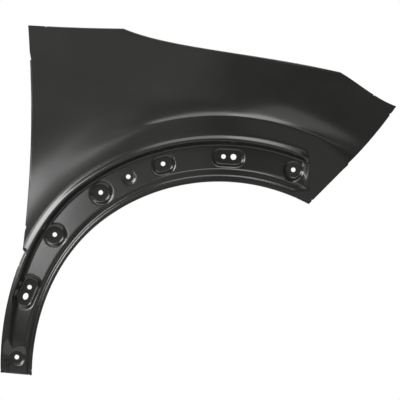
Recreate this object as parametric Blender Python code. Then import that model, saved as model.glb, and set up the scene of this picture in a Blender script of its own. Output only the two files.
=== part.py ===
"""Right front fender of a car: one panel pressed from sheet steel, upright as it hangs on the car.

The panel is drawn about the wheel centre: x runs forward, z up and y inward from the outermost
skin. A flat grid of columns and rows is laid over the side view, first over the recessed channel
that follows the wheel arch and then over the skin above it. One depth function presses that grid
into the skin, its free edges are folded into flanges, and the sheet is then given its thickness.
The finished panel is moved so that its origin is on the middle hood mounting pad.
"""

import math
from typing import NamedTuple

import bmesh
import bpy
from mathutils import Vector

# Sheet
SHEET_THICKNESS = 0.0008
FOLD_RADIUS = 0.0022

# Wheel arch, about the wheel centre; angles in degrees from straight ahead, over the top
ARCH_RADIUS = 0.400
ARCH_FRONT_ANGLE = 62.0
NOTCH_ANGLE = 147.5
FOOT_ANGLE = 180.0
LEG_TUCK = 0.0117
LEG_TUCK_START_ANGLE = 127.0
LEG_TUCK_END_ANGLE = 174.0
FRONT_RAKE_ANGLE = 3.4
FOOT_RAKE_ANGLE = 0.4

# Leg behind the wheel, measured from the arch edge
LEG_TOP_WIDTH = 0.0822
LEG_FOOT_WIDTH = 0.0650
LEG_TOP_ANGLE = 148.5
LEG_TAPER_SHARE = 0.4

# Bands of the channel, from the arch edge outward: widths over the crown and on the leg
LIP_WIDTH = 0.0102
LIP_STEP_WIDTH = 0.0052
SHELF_WIDTH = 0.0107
SHELF_STEP_WIDTH = 0.0025
CHANNEL_WIDTH = 0.0483
CHANNEL_WALL_WIDTH = 0.0088
CREST_WIDTH = 0.0037
RIM_WIDTH = 0.0084
LEG_LIP_WIDTH = 0.0125
LEG_LIP_STEP_WIDTH = 0.0042
LEG_SHELF_WIDTH = 0.0012
LEG_SHELF_STEP_WIDTH = 0.0014
LEG_CHANNEL_WIDTH = 0.0231
LEG_CHANNEL_WALL_WIDTH = 0.0125
LEG_CREST_WIDTH = 0.0031
LEG_RIM_WIDTH = 0.0140

# Heights of the bands, inward from the skin beside the channel
LIP_HEIGHT = 0.0010
SHELF_DEPTH = 0.0014
CHANNEL_INNER_DEPTH = 0.0035
CHANNEL_OUTER_DEPTH = 0.0120
CREST_HEIGHT = 0.0032
LEG_CHANNEL_INNER_DEPTH = 0.0020
LEG_CHANNEL_OUTER_DEPTH = 0.0065

# Where the narrow bands and the channel itself change from the crown to the leg
SHELF_FADE_ANGLES = (100.0, 145.0)
CHANNEL_FADE_ANGLES = (125.0, 178.0)

# Ends of the channel
CHANNEL_END_X = 0.1915
CHANNEL_END_RAMP = 0.0160
CHANNEL_CORNER_CUT = 0.0270
FOOT_PAD_ANGLES = (171.4, 173.2)
FOOT_PAD_SHARE = 0.35

# Pressed seats for clips and screws
SEAT_DEPTH = 0.0132
FOOT_SEAT_DEPTH = 0.0062
RING_DEPTH = 0.0083
SEAT_WALL = 0.0083
WIDE_SEAT_WALL = 0.0120
ROUND_SEAT_RADIUS = 0.0192
SMALL_SEAT_RADIUS = 0.0160
FOOT_SEAT_RADIUS = 0.0140
RING_RADIUS = 0.0130
LONG_SEAT_LENGTH = 0.0610
LONG_SEAT_WIDTH = 0.0305
LONG_SEAT_CORNER = 0.0130
OVAL_SEAT_LENGTH = 0.0400
OVAL_SEAT_WIDTH = 0.0315
OVAL_SEAT_CORNER = 0.0125
LEG_SEAT_SHIFT = 0.0042
SEAT_BLEND = 0.0016
HOLE_DIAMETER = 0.0094
WIDE_HOLE_DIAMETER = 0.0120
SLOT_LENGTH = 0.0144
SLOT_WIDTH = 0.0108
HOLE_SPACING = 0.0207

# Skin above the channel
FLARE_RADIUS = 0.5378
FLARE_DEPTH = 0.0240
FLARE_SPREAD = 0.0350
FLARE_CREASE_RADIUS = 0.0022
FLARE_REAR_RADIUS = 0.0230
FLARE_FRONT_RADIUS = 0.0120
FLARE_REAR_ANGLES = (103.0, 130.0)
FLARE_FRONT_ANGLES = (50.0, 68.0)
SHOULDER_Z = 0.5720
SHOULDER_DEPTH = 0.0090
SHOULDER_HEIGHT = 0.0720
SHOULDER_END_X = 0.1500
SHOULDER_FADE = 0.2500
CROWN_START_Z = 0.6000
CROWN_SPAN = 0.1260
CROWN_DEPTH = 0.0170
SWEEP_START_X = -0.1000
SWEEP_SPAN = 0.4700
SWEEP_DEPTH = 0.1050
TUCK_START_Z = 0.1500
TUCK_SPAN = 0.1500
TUCK_DEPTH = 0.0080

# Corners of the side view, about the wheel centre
REAR_TOP_X = -0.3967
REAR_TOP_Z = 0.7260
HOOD_REAR_X = -0.1976
HOOD_REAR_Z = 0.7191
HOOD_FRONT_X = 0.2537
HOOD_FRONT_Z = 0.6286
TIP_X = 0.3714
TIP_Z = 0.5578

# Handles that bend the edges between those corners, from the corner before and the corner after
DOOR_LOWER_HANDLE_X = 0.0197
DOOR_LOWER_HANDLE_Z = 0.1690
DOOR_UPPER_HANDLE_X = 0.0107
DOOR_UPPER_HANDLE_Z = 0.1560
REAR_TOP_HANDLE_X = 0.0667
REAR_TOP_HANDLE_Z = 0.0040
REAR_TOP_END_HANDLE_X = 0.0624
REAR_TOP_END_HANDLE_Z = 0.0005
HOOD_HANDLE_X = 0.1000
HOOD_HANDLE_Z = 0.0421
HOOD_END_HANDLE_X = 0.1900
HOOD_END_HANDLE_Z = 0.0424
LAMP_HANDLE_X = 0.0363
LAMP_HANDLE_Z = 0.0206
LAMP_END_HANDLE_X = 0.0434
LAMP_END_HANDLE_Z = 0.0152
BUMPER_HANDLE_X = 0.0480
BUMPER_HANDLE_Z = 0.0440
BUMPER_END_HANDLE_X = 0.0254
BUMPER_END_HANDLE_Z = 0.0368

# Flanges
ARCH_FLANGE = 0.0140
LEG_FLANGE = 0.0120
DOOR_FLANGE = 0.0120
REAR_TOP_FLANGE = 0.0150
LAMP_FLANGE = 0.0140
BUMPER_FLANGE = 0.0170
FOOT_FLANGE = 0.0060
FOOT_TAB_LENGTH = 0.0240
HOOD_WALL = 0.0300
HOOD_LEDGE = 0.0120
HOOD_PAD_WIDTH = 0.0270
HOOD_PAD_PLACE_SHARES = (0.06, 0.50, 0.94)
PAD_CELLS = 3
DOOR_TAB_LENGTH = 0.0300
DOOR_TAB_Z = 0.6100
TAB_TAPER_SHARE = 0.18
SCREW_HOLE_DIAMETER = 0.0080
SQUARE_TURN = 90.0
HOOD_TURN = 155.0

# Mesh
COLUMN_PITCH = 0.0230
HOOD_REAR_COLUMN_ANGLE = 124.0
HOOD_FRONT_COLUMN_ANGLE = 73.6
SEAT_COLUMNS = 6
LONG_SEAT_COLUMNS = 8
CHANNEL_CELLS = 4
FLARE_ROW_SHARES = (0.45, 0.88, 1.0)
SKIN_ROW_SHARES = (0.03, 0.09, 0.18, 0.30, 0.44, 0.60, 0.80, 1.0)
FOLD_STEPS = 2
HOLE_SEGMENTS = 12
SEAT_TOP_SHARE = 0.75
RING_LIMIT_SHARE = 0.90
BISECTIONS = 30
SHARP_ANGLE = 40.0

# Material: black electrophoretic primer, semi-gloss
PRIMER_COLOUR = (0.012, 0.012, 0.011, 1.0)
PRIMER_ROUGHNESS = 0.35
PRIMER_METALLIC = 0.0


class Hole(NamedTuple):
    """Pierced hole, placed along the arch from the centre of its seat."""

    offset: float
    length: float
    width: float


class Seat(NamedTuple):
    """Pressed seat in the channel: its flat floor, sloping wall and holes."""

    angle: float
    length: float
    width: float
    corner: float
    wall: float
    depth: float
    shift_share: float
    columns: int
    first_row: int
    last_row: int
    holes: tuple


ROUND_HOLE = Hole(0.0, HOLE_DIAMETER, HOLE_DIAMETER)
SLOT_HOLES = (
    Hole(HOLE_SPACING / 2, SLOT_LENGTH, SLOT_WIDTH),
    Hole(-HOLE_SPACING / 2, HOLE_DIAMETER, HOLE_DIAMETER),
)
PAIR_HOLES = (
    Hole(HOLE_SPACING / 2, HOLE_DIAMETER, HOLE_DIAMETER),
    Hole(-HOLE_SPACING / 2, WIDE_HOLE_DIAMETER, WIDE_HOLE_DIAMETER),
)


def round_seat(angle, radius, wall, depth, shift_share=0.0, first_row=4, last_row=8):
    """Round seat with one hole at its centre."""
    return Seat(angle, 2 * radius, 2 * radius, radius, wall, depth, shift_share,
                SEAT_COLUMNS, first_row, last_row, (ROUND_HOLE,))


def long_seat(angle, holes, shift_share=0.0, last_row=8):
    """Long seat with round ends and two holes."""
    return Seat(angle, LONG_SEAT_LENGTH, LONG_SEAT_WIDTH, LONG_SEAT_CORNER, SEAT_WALL, SEAT_DEPTH,
                shift_share, LONG_SEAT_COLUMNS, 4, last_row, holes)


SEATS = (
    round_seat(175.2, FOOT_SEAT_RADIUS, WIDE_SEAT_WALL, FOOT_SEAT_DEPTH, 0.45, 1, 10),
    long_seat(156.7, SLOT_HOLES, 0.9, 9),
    round_seat(139.6, ROUND_SEAT_RADIUS, SEAT_WALL, SEAT_DEPTH, 1.1),
    round_seat(123.0, ROUND_SEAT_RADIUS, SEAT_WALL, SEAT_DEPTH),
    round_seat(114.6, RING_RADIUS, SEAT_WALL, RING_DEPTH),
    Seat(104.8, OVAL_SEAT_LENGTH, OVAL_SEAT_WIDTH, OVAL_SEAT_CORNER, SEAT_WALL, SEAT_DEPTH, 0.0,
         SEAT_COLUMNS, 4, 8, (ROUND_HOLE,)),
    long_seat(87.4, PAIR_HOLES),
    round_seat(69.9, SMALL_SEAT_RADIUS, WIDE_SEAT_WALL, SEAT_DEPTH),
)


# Small helpers

def mix(first, second, share):
    """Value or vector at a share of the way from the first to the second."""
    return first + (second - first) * share


def smooth_share(value, start, end):
    """Smooth rise from 0 at start to 1 at end."""
    share = min(max((value - start) / (end - start), 0.0), 1.0)
    return share * share * (3 - 2 * share)


def soft_positive(value, blend):
    """Value where it is above zero and zero below, rounded over the blend length."""
    if value <= -blend:
        return 0.0
    if value >= blend:
        return value
    return (value + blend) ** 2 / (4 * blend)


def soft_deeper(first, second, blend):
    """The deeper of two depths, with the corner between them filleted."""
    return second + soft_positive(first - second, blend)


def polar(x, z):
    """Radius and angle of a point of the side view, with the angle from -90 to 270 degrees."""
    angle = math.degrees(math.atan2(z, x))
    return math.hypot(x, z), angle + 360 if angle < -90 else angle


def side_point(radius, angle):
    """Point of the side view at a radius and an angle about the wheel centre."""
    turn = math.radians(angle)
    return Vector((radius * math.cos(turn), radius * math.sin(turn)))


def smooth_curve(places, heights, place):
    """Height at a place on the monotone cubic curve through the given points."""
    last = len(places) - 1
    index = 0
    while index < last - 1 and place > places[index + 1]:
        index += 1

    def secant(i):
        return (heights[i + 1] - heights[i]) / (places[i + 1] - places[i])

    def slope(i):
        if i == 0 or i == last:
            return 0.0
        before, after = secant(i - 1), secant(i)
        return 2 * before * after / (before + after) if before * after > 0 else 0.0

    span = places[index + 1] - places[index]
    share = min(max((place - places[index]) / span, 0.0), 1.0)
    rise = smooth_share(share, 0.0, 1.0)
    start_pull = share * (1 - share) ** 2 * span * slope(index)
    end_pull = share * share * (1 - share) * span * slope(index + 1)
    return mix(heights[index], heights[index + 1], rise) + start_pull - end_pull


# Side view of the channel

def arch_radius(angle):
    """Radius of the arch edge, which draws in a little down the leg."""
    return ARCH_RADIUS - LEG_TUCK * smooth_share(angle, LEG_TUCK_START_ANGLE, LEG_TUCK_END_ANGLE)


def leg_width(angle):
    """Width of the leg from the arch edge to its rear edge."""
    share = min(max((angle - LEG_TOP_ANGLE) / (FOOT_ANGLE - LEG_TOP_ANGLE), 0.0), 1.0)
    return mix(LEG_TOP_WIDTH, LEG_FOOT_WIDTH, share * (1 + LEG_TAPER_SHARE * (1 - share)))


def band_radii(angle):
    """Radii of the nine band lines at an angle, from the arch edge to the outside of the rim."""
    shelf_leg = smooth_share(angle, *SHELF_FADE_ANGLES)
    channel_leg = smooth_share(angle, *CHANNEL_FADE_ANGLES)
    crown_reach = leg_reach = 0.0
    reaches = [0.0]
    for crown_width, width, leg in (
        (LIP_WIDTH, LEG_LIP_WIDTH, shelf_leg),
        (LIP_STEP_WIDTH, LEG_LIP_STEP_WIDTH, shelf_leg),
        (SHELF_WIDTH, LEG_SHELF_WIDTH, shelf_leg),
        (SHELF_STEP_WIDTH, LEG_SHELF_STEP_WIDTH, shelf_leg),
        (CHANNEL_WIDTH, LEG_CHANNEL_WIDTH, channel_leg),
        (CHANNEL_WALL_WIDTH, LEG_CHANNEL_WALL_WIDTH, channel_leg),
        (CREST_WIDTH, LEG_CREST_WIDTH, channel_leg),
    ):
        crown_reach += crown_width
        leg_reach += width
        reaches.append(mix(crown_reach, leg_reach, leg))
    if angle > NOTCH_ANGLE:
        reaches.append(leg_width(angle))
    else:
        reaches.append(reaches[-1] + mix(RIM_WIDTH, LEG_RIM_WIDTH, channel_leg))
    edge = arch_radius(angle)
    return [edge + reach for reach in reaches]


def band_radius(angle, line):
    """Radius at a band line, or between two of them for a part of a number."""
    radii = band_radii(angle)
    first = min(int(line), len(radii) - 2)
    return mix(radii[first], radii[first + 1], line - first)


def channel_share(radius, angle):
    """How far the channel is pressed at a point: 1 along the arch, less at its ends."""
    radii = band_radii(angle)
    cut = CHANNEL_CORNER_CUT * (1 - smooth_share(radius, radii[1], radii[4]))
    end_x = CHANNEL_END_X - cut
    x = side_point(radius, angle).x
    front = 1 - smooth_share(x, end_x - CHANNEL_END_RAMP, end_x)
    foot = mix(1.0, FOOT_PAD_SHARE, smooth_share(angle, *FOOT_PAD_ANGLES))
    return front * foot


def channel_depth(radius, angle):
    """Depth of the channel, its rim and its lip, inward from the skin beside it."""
    radii = band_radii(angle)
    if radius >= radii[-1]:
        return 0.0
    leg = smooth_share(angle, *CHANNEL_FADE_ANGLES)
    inner = mix(CHANNEL_INNER_DEPTH, LEG_CHANNEL_INNER_DEPTH, leg)
    outer = mix(CHANNEL_OUTER_DEPTH, LEG_CHANNEL_OUTER_DEPTH, leg)
    depths = [-LIP_HEIGHT, -LIP_HEIGHT, SHELF_DEPTH, SHELF_DEPTH,
              inner, outer, -CREST_HEIGHT, -CREST_HEIGHT, 0.0]
    return smooth_curve(radii, depths, radius) * channel_share(radius, angle)


# Depth of the skin

def sweep_slope(x):
    """Slope with which the skin falls away toward the front of the car."""
    return 2 * SWEEP_DEPTH * max((x - SWEEP_START_X) / SWEEP_SPAN, 0.0) / SWEEP_SPAN


def body_depth(x, z):
    """Depth of the plain body side: its sweep to the front, shoulder, crown and tuck."""
    sweep = SWEEP_DEPTH * max((x - SWEEP_START_X) / SWEEP_SPAN, 0.0) ** 2
    shoulder_foot = SHOULDER_Z - SHOULDER_HEIGHT / 2
    shoulder = SHOULDER_DEPTH * smooth_share(z, shoulder_foot, shoulder_foot + SHOULDER_HEIGHT)
    shoulder *= 1 - smooth_share(x, SHOULDER_END_X - SHOULDER_FADE, SHOULDER_END_X)
    crown = CROWN_DEPTH * max((z - CROWN_START_Z) / CROWN_SPAN, 0.0) ** 2
    tuck = TUCK_DEPTH * max((TUCK_START_Z - z) / TUCK_SPAN, 0.0) ** 2
    return sweep + shoulder + crown + tuck


def flare_depth(radius, angle):
    """Depth that the skin falls in beyond the crease of the flare."""
    rear = smooth_share(angle, *FLARE_REAR_ANGLES)
    front = 1 - smooth_share(angle, *FLARE_FRONT_ANGLES)
    soft = mix(mix(FLARE_CREASE_RADIUS, FLARE_REAR_RADIUS, rear), FLARE_FRONT_RADIUS, front)
    beyond = soft * math.log1p(math.exp(min((radius - FLARE_RADIUS) / soft, 40)))
    return FLARE_DEPTH * (1 - math.exp(-beyond / FLARE_SPREAD))


def plain_depth(x, z):
    """Depth of the skin and its channel, without the seats."""
    radius, angle = polar(x, z)
    return body_depth(x, z) + flare_depth(radius, angle) + channel_depth(radius, angle)


def seat_centre(seat):
    """Centre of a seat in the side view, on the middle of the channel floor."""
    middle = (band_radius(seat.angle, 4) + band_radius(seat.angle, 5)) / 2
    return side_point(middle + LEG_SEAT_SHIFT * seat.shift_share, seat.angle)


def seat_distance(seat, point):
    """Distance of a side-view point outside the outline of a seat's floor."""
    turn = math.radians(seat.angle)
    offset = point - seat_centre(seat)
    along = abs(offset.y * math.cos(turn) - offset.x * math.sin(turn))
    across = abs(offset.x * math.cos(turn) + offset.y * math.sin(turn))
    over_along = along - seat.length / 2 + seat.corner
    over_across = across - seat.width / 2 + seat.corner
    outside = math.hypot(max(over_along, 0.0), max(over_across, 0.0))
    return outside + min(max(over_along, over_across), 0.0) - seat.corner


def seat_depth(seat, point):
    """Depth of a seat's flat floor and of the wall that rises round it."""
    centre = seat_centre(seat)
    floor = body_depth(*centre) + flare_depth(*polar(*centre)) + seat.depth
    floor += sweep_slope(centre.x) * (point.x - centre.x)
    rise = soft_positive(seat_distance(seat, point), SEAT_BLEND)
    return floor - rise * seat.depth / seat.wall


def skin_depth(x, z):
    """Depth of the finished skin at a point of the side view."""
    depth = plain_depth(x, z)
    point = Vector((x, z))
    for seat in SEATS:
        reach = seat.length / 2 + seat.width / 2 + seat.wall
        if (point - seat_centre(seat)).length < reach:
            depth = soft_deeper(seat_depth(seat, point), depth, SEAT_BLEND)
    return depth


# Sheet mesh

class Sheet:
    """The middle of the sheet as a bmesh, built over the side view."""

    def __init__(self):
        self.mesh = bmesh.new()

    def add(self, x, y, z):
        """Add a vertex anywhere."""
        return self.mesh.verts.new((x, y, z))

    def press(self, point):
        """Add a vertex on the skin over a point of the side view."""
        return self.add(point.x, skin_depth(point.x, point.y), point.y)

    def face(self, *corners):
        """Add a face."""
        return self.mesh.faces.new(corners)

    def bridge(self, first, second, closed=False):
        """Join two rows of as many vertices with quads."""
        count = len(first)
        for i in range(count if closed else count - 1):
            after = (i + 1) % count
            self.face(first[i], first[after], second[after], second[i])

    def fill(self, outline, holes):
        """Fill a flat outline and leave its holes open."""
        edges = []
        for loop in [outline] + holes:
            for i, corner in enumerate(loop):
                after = loop[(i + 1) % len(loop)]
                edges.append(self.mesh.edges.get((corner, after)) or self.mesh.edges.new((corner, after)))
        bmesh.ops.triangle_fill(self.mesh, use_beauty=True, edges=edges)


# Columns and rows of the channel

def seat_span(seat):
    """First and last angle of the block of cells that holds a seat."""
    radius = seat_centre(seat).length
    half = math.degrees((seat.length / 2 + seat.wall) / radius)
    return seat.angle - half, seat.angle + half


def extend_angles(angles, end):
    """Add evenly spaced angles up to an end, with one of them on the notch if it is passed."""
    stops = [NOTCH_ANGLE, end] if angles[-1] > NOTCH_ANGLE > end else [end]
    for stop in stops:
        start = angles[-1]
        arc = math.radians(start - stop) * ARCH_RADIUS
        count = max(1, round(arc / COLUMN_PITCH))
        angles.extend(mix(start, stop, (step + 1) / count) for step in range(count))


def column_angles():
    """Angles of all columns from the foot to the front, and the first column of each seat."""
    angles = [FOOT_ANGLE]
    first_columns = []
    for seat in SEATS:
        front, rear = seat_span(seat)
        extend_angles(angles, rear)
        first_columns.append(len(angles) - 1)
        angles.extend(mix(rear, front, (step + 1) / seat.columns) for step in range(seat.columns))
    extend_angles(angles, ARCH_FRONT_ANGLE)
    return angles, first_columns


def column_turn(angle, across):
    """Turn of a column at a share of the way from arch edge to rim, for the raked ends."""
    front = seat_span(SEATS[-1])[0]
    rear = seat_span(SEATS[0])[1]
    if angle < front:
        return -FRONT_RAKE_ANGLE * across * (front - angle) / (front - ARCH_FRONT_ANGLE)
    if angle > rear:
        return FOOT_RAKE_ANGLE * (1 - 2 * across) * (angle - rear) / (FOOT_ANGLE - rear)
    return 0.0


def band_lines():
    """Band line of each row, with the channel floor divided into cells."""
    floor = [4 + step / CHANNEL_CELLS for step in range(CHANNEL_CELLS)]
    return [0, 1, 2, 3] + floor + [5, 6, 7, 8]


class Channel:
    """Grid of the channel: columns from the foot to the front, rows from arch edge to rim."""

    def __init__(self, sheet):
        self.sheet = sheet
        self.angles, self.first_columns = column_angles()
        self.lines = band_lines()
        self.last_column = len(self.angles) - 1
        self.last_row = len(self.lines) - 1
        self.notch = self.angles.index(NOTCH_ANGLE)
        self.vertices = {}

    def point(self, column, row):
        """Side-view point, drawn in by the fold where the sheet turns in at a free edge."""
        angle = self.angles[column]
        radii = band_radii(angle)
        across = (band_radius(angle, self.lines[row]) - radii[0]) / (radii[-1] - radii[0])
        rim_angle = angle + column_turn(angle, 1)
        arch_angle = angle + column_turn(angle, 0)
        foot = side_point(arch_radius(arch_angle), arch_angle)
        head = side_point(band_radii(rim_angle)[-1], rim_angle)
        travel = (head - foot).normalized()
        point = mix(foot, head, across)
        at_end = column in (0, self.last_column)
        at_edge = row == 0 or (row == self.last_row and column < self.notch)
        if at_end and not at_edge:
            point += Vector((travel.y, -travel.x)) * (-FOLD_RADIUS if column else FOLD_RADIUS)
        if at_edge and not at_end:
            point += travel * (-FOLD_RADIUS if row else FOLD_RADIUS)
        return point

    def vertex(self, column, row):
        """Vertex of the grid, made when it is first asked for."""
        key = (column, row)
        if key not in self.vertices:
            self.vertices[key] = self.sheet.press(self.point(column, row))
        return self.vertices[key]

    def in_seat(self, column, row):
        """Whether a cell lies in the block of a seat."""
        for seat, first in zip(SEATS, self.first_columns):
            if first <= column < first + seat.columns and seat.first_row <= row < seat.last_row:
                return True
        return False

    def build(self):
        """Lay the cells of the grid and the seats in their blocks."""
        for column in range(self.last_column):
            for row in range(self.last_row):
                if not self.in_seat(column, row):
                    self.sheet.face(
                        self.vertex(column, row), self.vertex(column + 1, row),
                        self.vertex(column + 1, row + 1), self.vertex(column, row + 1))
        for seat, first in zip(SEATS, self.first_columns):
            self.build_seat(seat, first)

    def block_edge(self, seat, first):
        """Vertices round the block of a seat, in order."""
        last = first + seat.columns
        rows = range(seat.first_row, seat.last_row)
        columns = range(first, last)
        edge = [self.vertex(column, seat.first_row) for column in columns]
        edge += [self.vertex(last, row) for row in rows]
        edge += [self.vertex(column + 1, seat.last_row) for column in reversed(columns)]
        edge += [self.vertex(first, row + 1) for row in reversed(rows)]
        return edge

    def build_seat(self, seat, first):
        """Lay the wall of a seat in rings, and its floor round the holes."""
        edge = self.block_edge(seat, first)
        rim = edge
        for distance in (seat.wall * SEAT_TOP_SHARE, SEAT_BLEND, -SEAT_BLEND):
            points = [ring_point(seat, Vector((v.co.x, v.co.z)), distance) for v in edge]
            ring = [self.sheet.press(point) for point in points]
            self.sheet.bridge(rim, ring, closed=True)
            rim = ring
        self.sheet.fill(rim, [self.hole_loop(seat, hole) for hole in seat.holes])

    def hole_loop(self, seat, hole):
        """Vertices round a hole in the floor of a seat."""
        turn = math.radians(seat.angle)
        across = Vector((math.cos(turn), math.sin(turn)))
        along = Vector((-across.y, across.x))
        centre = seat_centre(seat) + along * hole.offset
        loop = []
        for step in range(HOLE_SEGMENTS):
            around = math.tau * step / HOLE_SEGMENTS
            offset = along * hole.length * math.cos(around) + across * hole.width * math.sin(around)
            loop.append(self.sheet.press(centre + offset / 2))
        return loop


def ring_point(seat, edge_point, distance):
    """Point between a seat's centre and its block edge, at a distance outside the floor."""
    centre = seat_centre(seat)
    inner, outer = 0.0, RING_LIMIT_SHARE
    for _ in range(BISECTIONS):
        middle = (inner + outer) / 2
        if seat_distance(seat, mix(centre, edge_point, middle)) < distance:
            inner = middle
        else:
            outer = middle
    return mix(centre, edge_point, inner)


# Skin above the channel

def bezier(points, share):
    """Point at a share of a Bezier curve, and its direction of travel."""
    level = list(points)
    while len(level) > 2:
        level = [mix(first, second, share) for first, second in zip(level, level[1:])]
    return mix(level[0], level[1], share), (level[1] - level[0]).normalized()


def edge_point(points, share, inset):
    """Point on an edge of the side view, moved to the right of its direction of travel."""
    point, travel = bezier(points, share)
    return point + Vector((travel.y, -travel.x)) * inset


def corner_points():
    """Corners of the side view above the channel."""
    return (Vector((REAR_TOP_X, REAR_TOP_Z)), Vector((HOOD_REAR_X, HOOD_REAR_Z)),
            Vector((HOOD_FRONT_X, HOOD_FRONT_Z)), Vector((TIP_X, TIP_Z)))


def top_edges():
    """Bezier curves of the top edge: rear top, hood line and lamp edge."""
    rear, hood_rear, hood_front, tip = corner_points()
    rear_top = (rear, rear + Vector((REAR_TOP_HANDLE_X, -REAR_TOP_HANDLE_Z)),
                hood_rear + Vector((-REAR_TOP_END_HANDLE_X, REAR_TOP_END_HANDLE_Z)), hood_rear)
    hood = (hood_rear, hood_rear + Vector((HOOD_HANDLE_X, -HOOD_HANDLE_Z)),
            hood_front + Vector((-HOOD_END_HANDLE_X, HOOD_END_HANDLE_Z)), hood_front)
    lamp = (hood_front, hood_front + Vector((LAMP_HANDLE_X, -LAMP_HANDLE_Z)),
            tip + Vector((-LAMP_END_HANDLE_X, LAMP_END_HANDLE_Z)), tip)
    return rear_top, hood, lamp


def door_edge(notch):
    """Bezier curve of the door edge, from the notch up."""
    rear = corner_points()[0]
    return (notch, notch + Vector((DOOR_LOWER_HANDLE_X, DOOR_LOWER_HANDLE_Z)),
            rear + Vector((DOOR_UPPER_HANDLE_X, -DOOR_UPPER_HANDLE_Z)), rear)


def bumper_edge(corner):
    """Bezier curve of the bumper edge, from the front end of the rim up to the tip."""
    tip = corner_points()[-1]
    return (corner, corner + Vector((BUMPER_HANDLE_X, BUMPER_HANDLE_Z)),
            tip - Vector((BUMPER_END_HANDLE_X, BUMPER_END_HANDLE_Z)), tip)


class Skin:
    """Grid of the skin above the channel: columns go on from the rim to the top edge."""

    def __init__(self, sheet, channel):
        self.sheet = sheet
        self.angles = channel.angles[channel.notch:]
        self.last_column = len(self.angles) - 1
        rims = range(channel.notch, channel.last_column + 1)
        self.rim = [channel.vertex(column, channel.last_row) for column in rims]
        self.feet = [channel.point(column, channel.last_row) for column in rims]
        self.hood_rear = self.nearest_column(HOOD_REAR_COLUMN_ANGLE)
        self.hood_front = self.nearest_column(HOOD_FRONT_COLUMN_ANGLE)
        self.rows = []

    def nearest_column(self, angle):
        """Column whose angle is nearest to the given one."""
        return min(range(self.last_column + 1), key=lambda column: abs(self.angles[column] - angle))

    def head(self, column):
        """Side-view point where a column meets the top edge."""
        stops = (0, self.hood_rear, self.hood_front, self.last_column)
        zone = max(i for i in range(3) if column >= stops[i])
        first, last = self.angles[stops[zone]], self.angles[stops[zone + 1]]
        share = (first - self.angles[column]) / (first - last)
        corner = column in (0, self.last_column)
        return edge_point(top_edges()[zone], share, 0.0 if corner else FOLD_RADIUS)

    def point(self, column, share):
        """Side-view point at a share of a column, between its foot and its head."""
        across = column / self.last_column
        inset = FOLD_RADIUS if 0 < share < 1 else 0.0
        point = mix(self.feet[column], self.head(column), share)
        for edge, side, weight in ((door_edge(self.feet[0]), inset, 1 - across),
                                   (bumper_edge(self.feet[-1]), -inset, across)):
            chord = mix(edge[0], edge[-1], share)
            point += (edge_point(edge, share, side) - chord) * weight ** 2
        return point

    def crease_share(self, column):
        """Share of a column at which it crosses the crease of the flare."""
        inner, outer = 0.0, 1.0
        for _ in range(BISECTIONS):
            middle = (inner + outer) / 2
            if self.point(column, middle).length < FLARE_RADIUS:
                inner = middle
            else:
                outer = middle
        return inner

    def build(self):
        """Lay the rows of the skin, the first ones below and on the crease."""
        creases = [self.crease_share(column) for column in range(self.last_column + 1)]
        self.rows = [self.rim]
        for share in FLARE_ROW_SHARES:
            self.add_row([crease * share for crease in creases])
        for share in SKIN_ROW_SHARES:
            self.add_row([mix(crease, 1.0, share) for crease in creases])

    def add_row(self, shares):
        """Add a row at a share of each column."""
        row = [self.sheet.press(self.point(column, share)) for column, share in enumerate(shares)]
        self.sheet.bridge(self.rows[-1], row)
        self.rows.append(row)


# Flanges

def outward_directions(chain, side):
    """Direction away from the sheet, in the side view, at each vertex of a free edge."""
    directions = []
    for i in range(len(chain)):
        travel = chain[min(i + 1, len(chain) - 1)].co - chain[max(i - 1, 0)].co
        directions.append(Vector((travel.z, 0.0, -travel.x)).normalized() * side)
    return directions


def fold(sheet, chain, side, turns, lengths):
    """Fold a free edge inward, by a turn and with a straight length at each vertex."""
    outwards = outward_directions(chain, side)
    inward = Vector((0.0, 1.0, 0.0))
    last = chain
    for step in range(FOLD_STEPS):
        row = []
        for start, outward, turn in zip(chain, outwards, turns):
            bend = math.radians(turn) * (step + 1) / FOLD_STEPS
            offset = outward * math.sin(bend) + inward * (1 - math.cos(bend))
            row.append(sheet.add(*(start.co + offset * FOLD_RADIUS)))
        sheet.bridge(last, row)
        last = row
    row = []
    for start, outward, turn, length in zip(last, outwards, turns, lengths):
        bend = math.radians(turn)
        row.append(sheet.add(*(start.co + (outward * math.cos(bend) + inward * math.sin(bend)) * length)))
    sheet.bridge(last, row)
    return row


def square_fold(sheet, chain, side, length):
    """Fold a free edge square to the side view."""
    return fold(sheet, chain, side, [SQUARE_TURN] * len(chain), [length] * len(chain))


def add_tab(sheet, root, length):
    """Carry the end of a flange on as a flat tab with a screw hole."""
    first, last = root[0].co, root[-1].co
    for vertex in root[1:-1]:
        share = (vertex.co.x - first.x) / (last.x - first.x)
        vertex.co.z = mix(first.z, last.z, share)
    reach = Vector((0.0, length, 0.0))
    end_first = sheet.add(*(mix(first, last, TAB_TAPER_SHARE) + reach))
    end_last = sheet.add(*(mix(last, first, TAB_TAPER_SHARE) + reach))
    along = (last - first).normalized()
    hole = screw_hole(sheet, (first + last + reach) / 2, along, reach.normalized())
    sheet.fill(list(root) + [end_last, end_first], [hole])


def screw_hole(sheet, centre, along, across):
    """Vertices round a screw hole in a flat place."""
    radius = SCREW_HOLE_DIAMETER / 2
    loop = []
    for step in range(HOLE_SEGMENTS):
        around = math.tau * step / HOLE_SEGMENTS
        loop.append(sheet.add(*(centre + (along * math.cos(around) + across * math.sin(around)) * radius)))
    return loop


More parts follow.
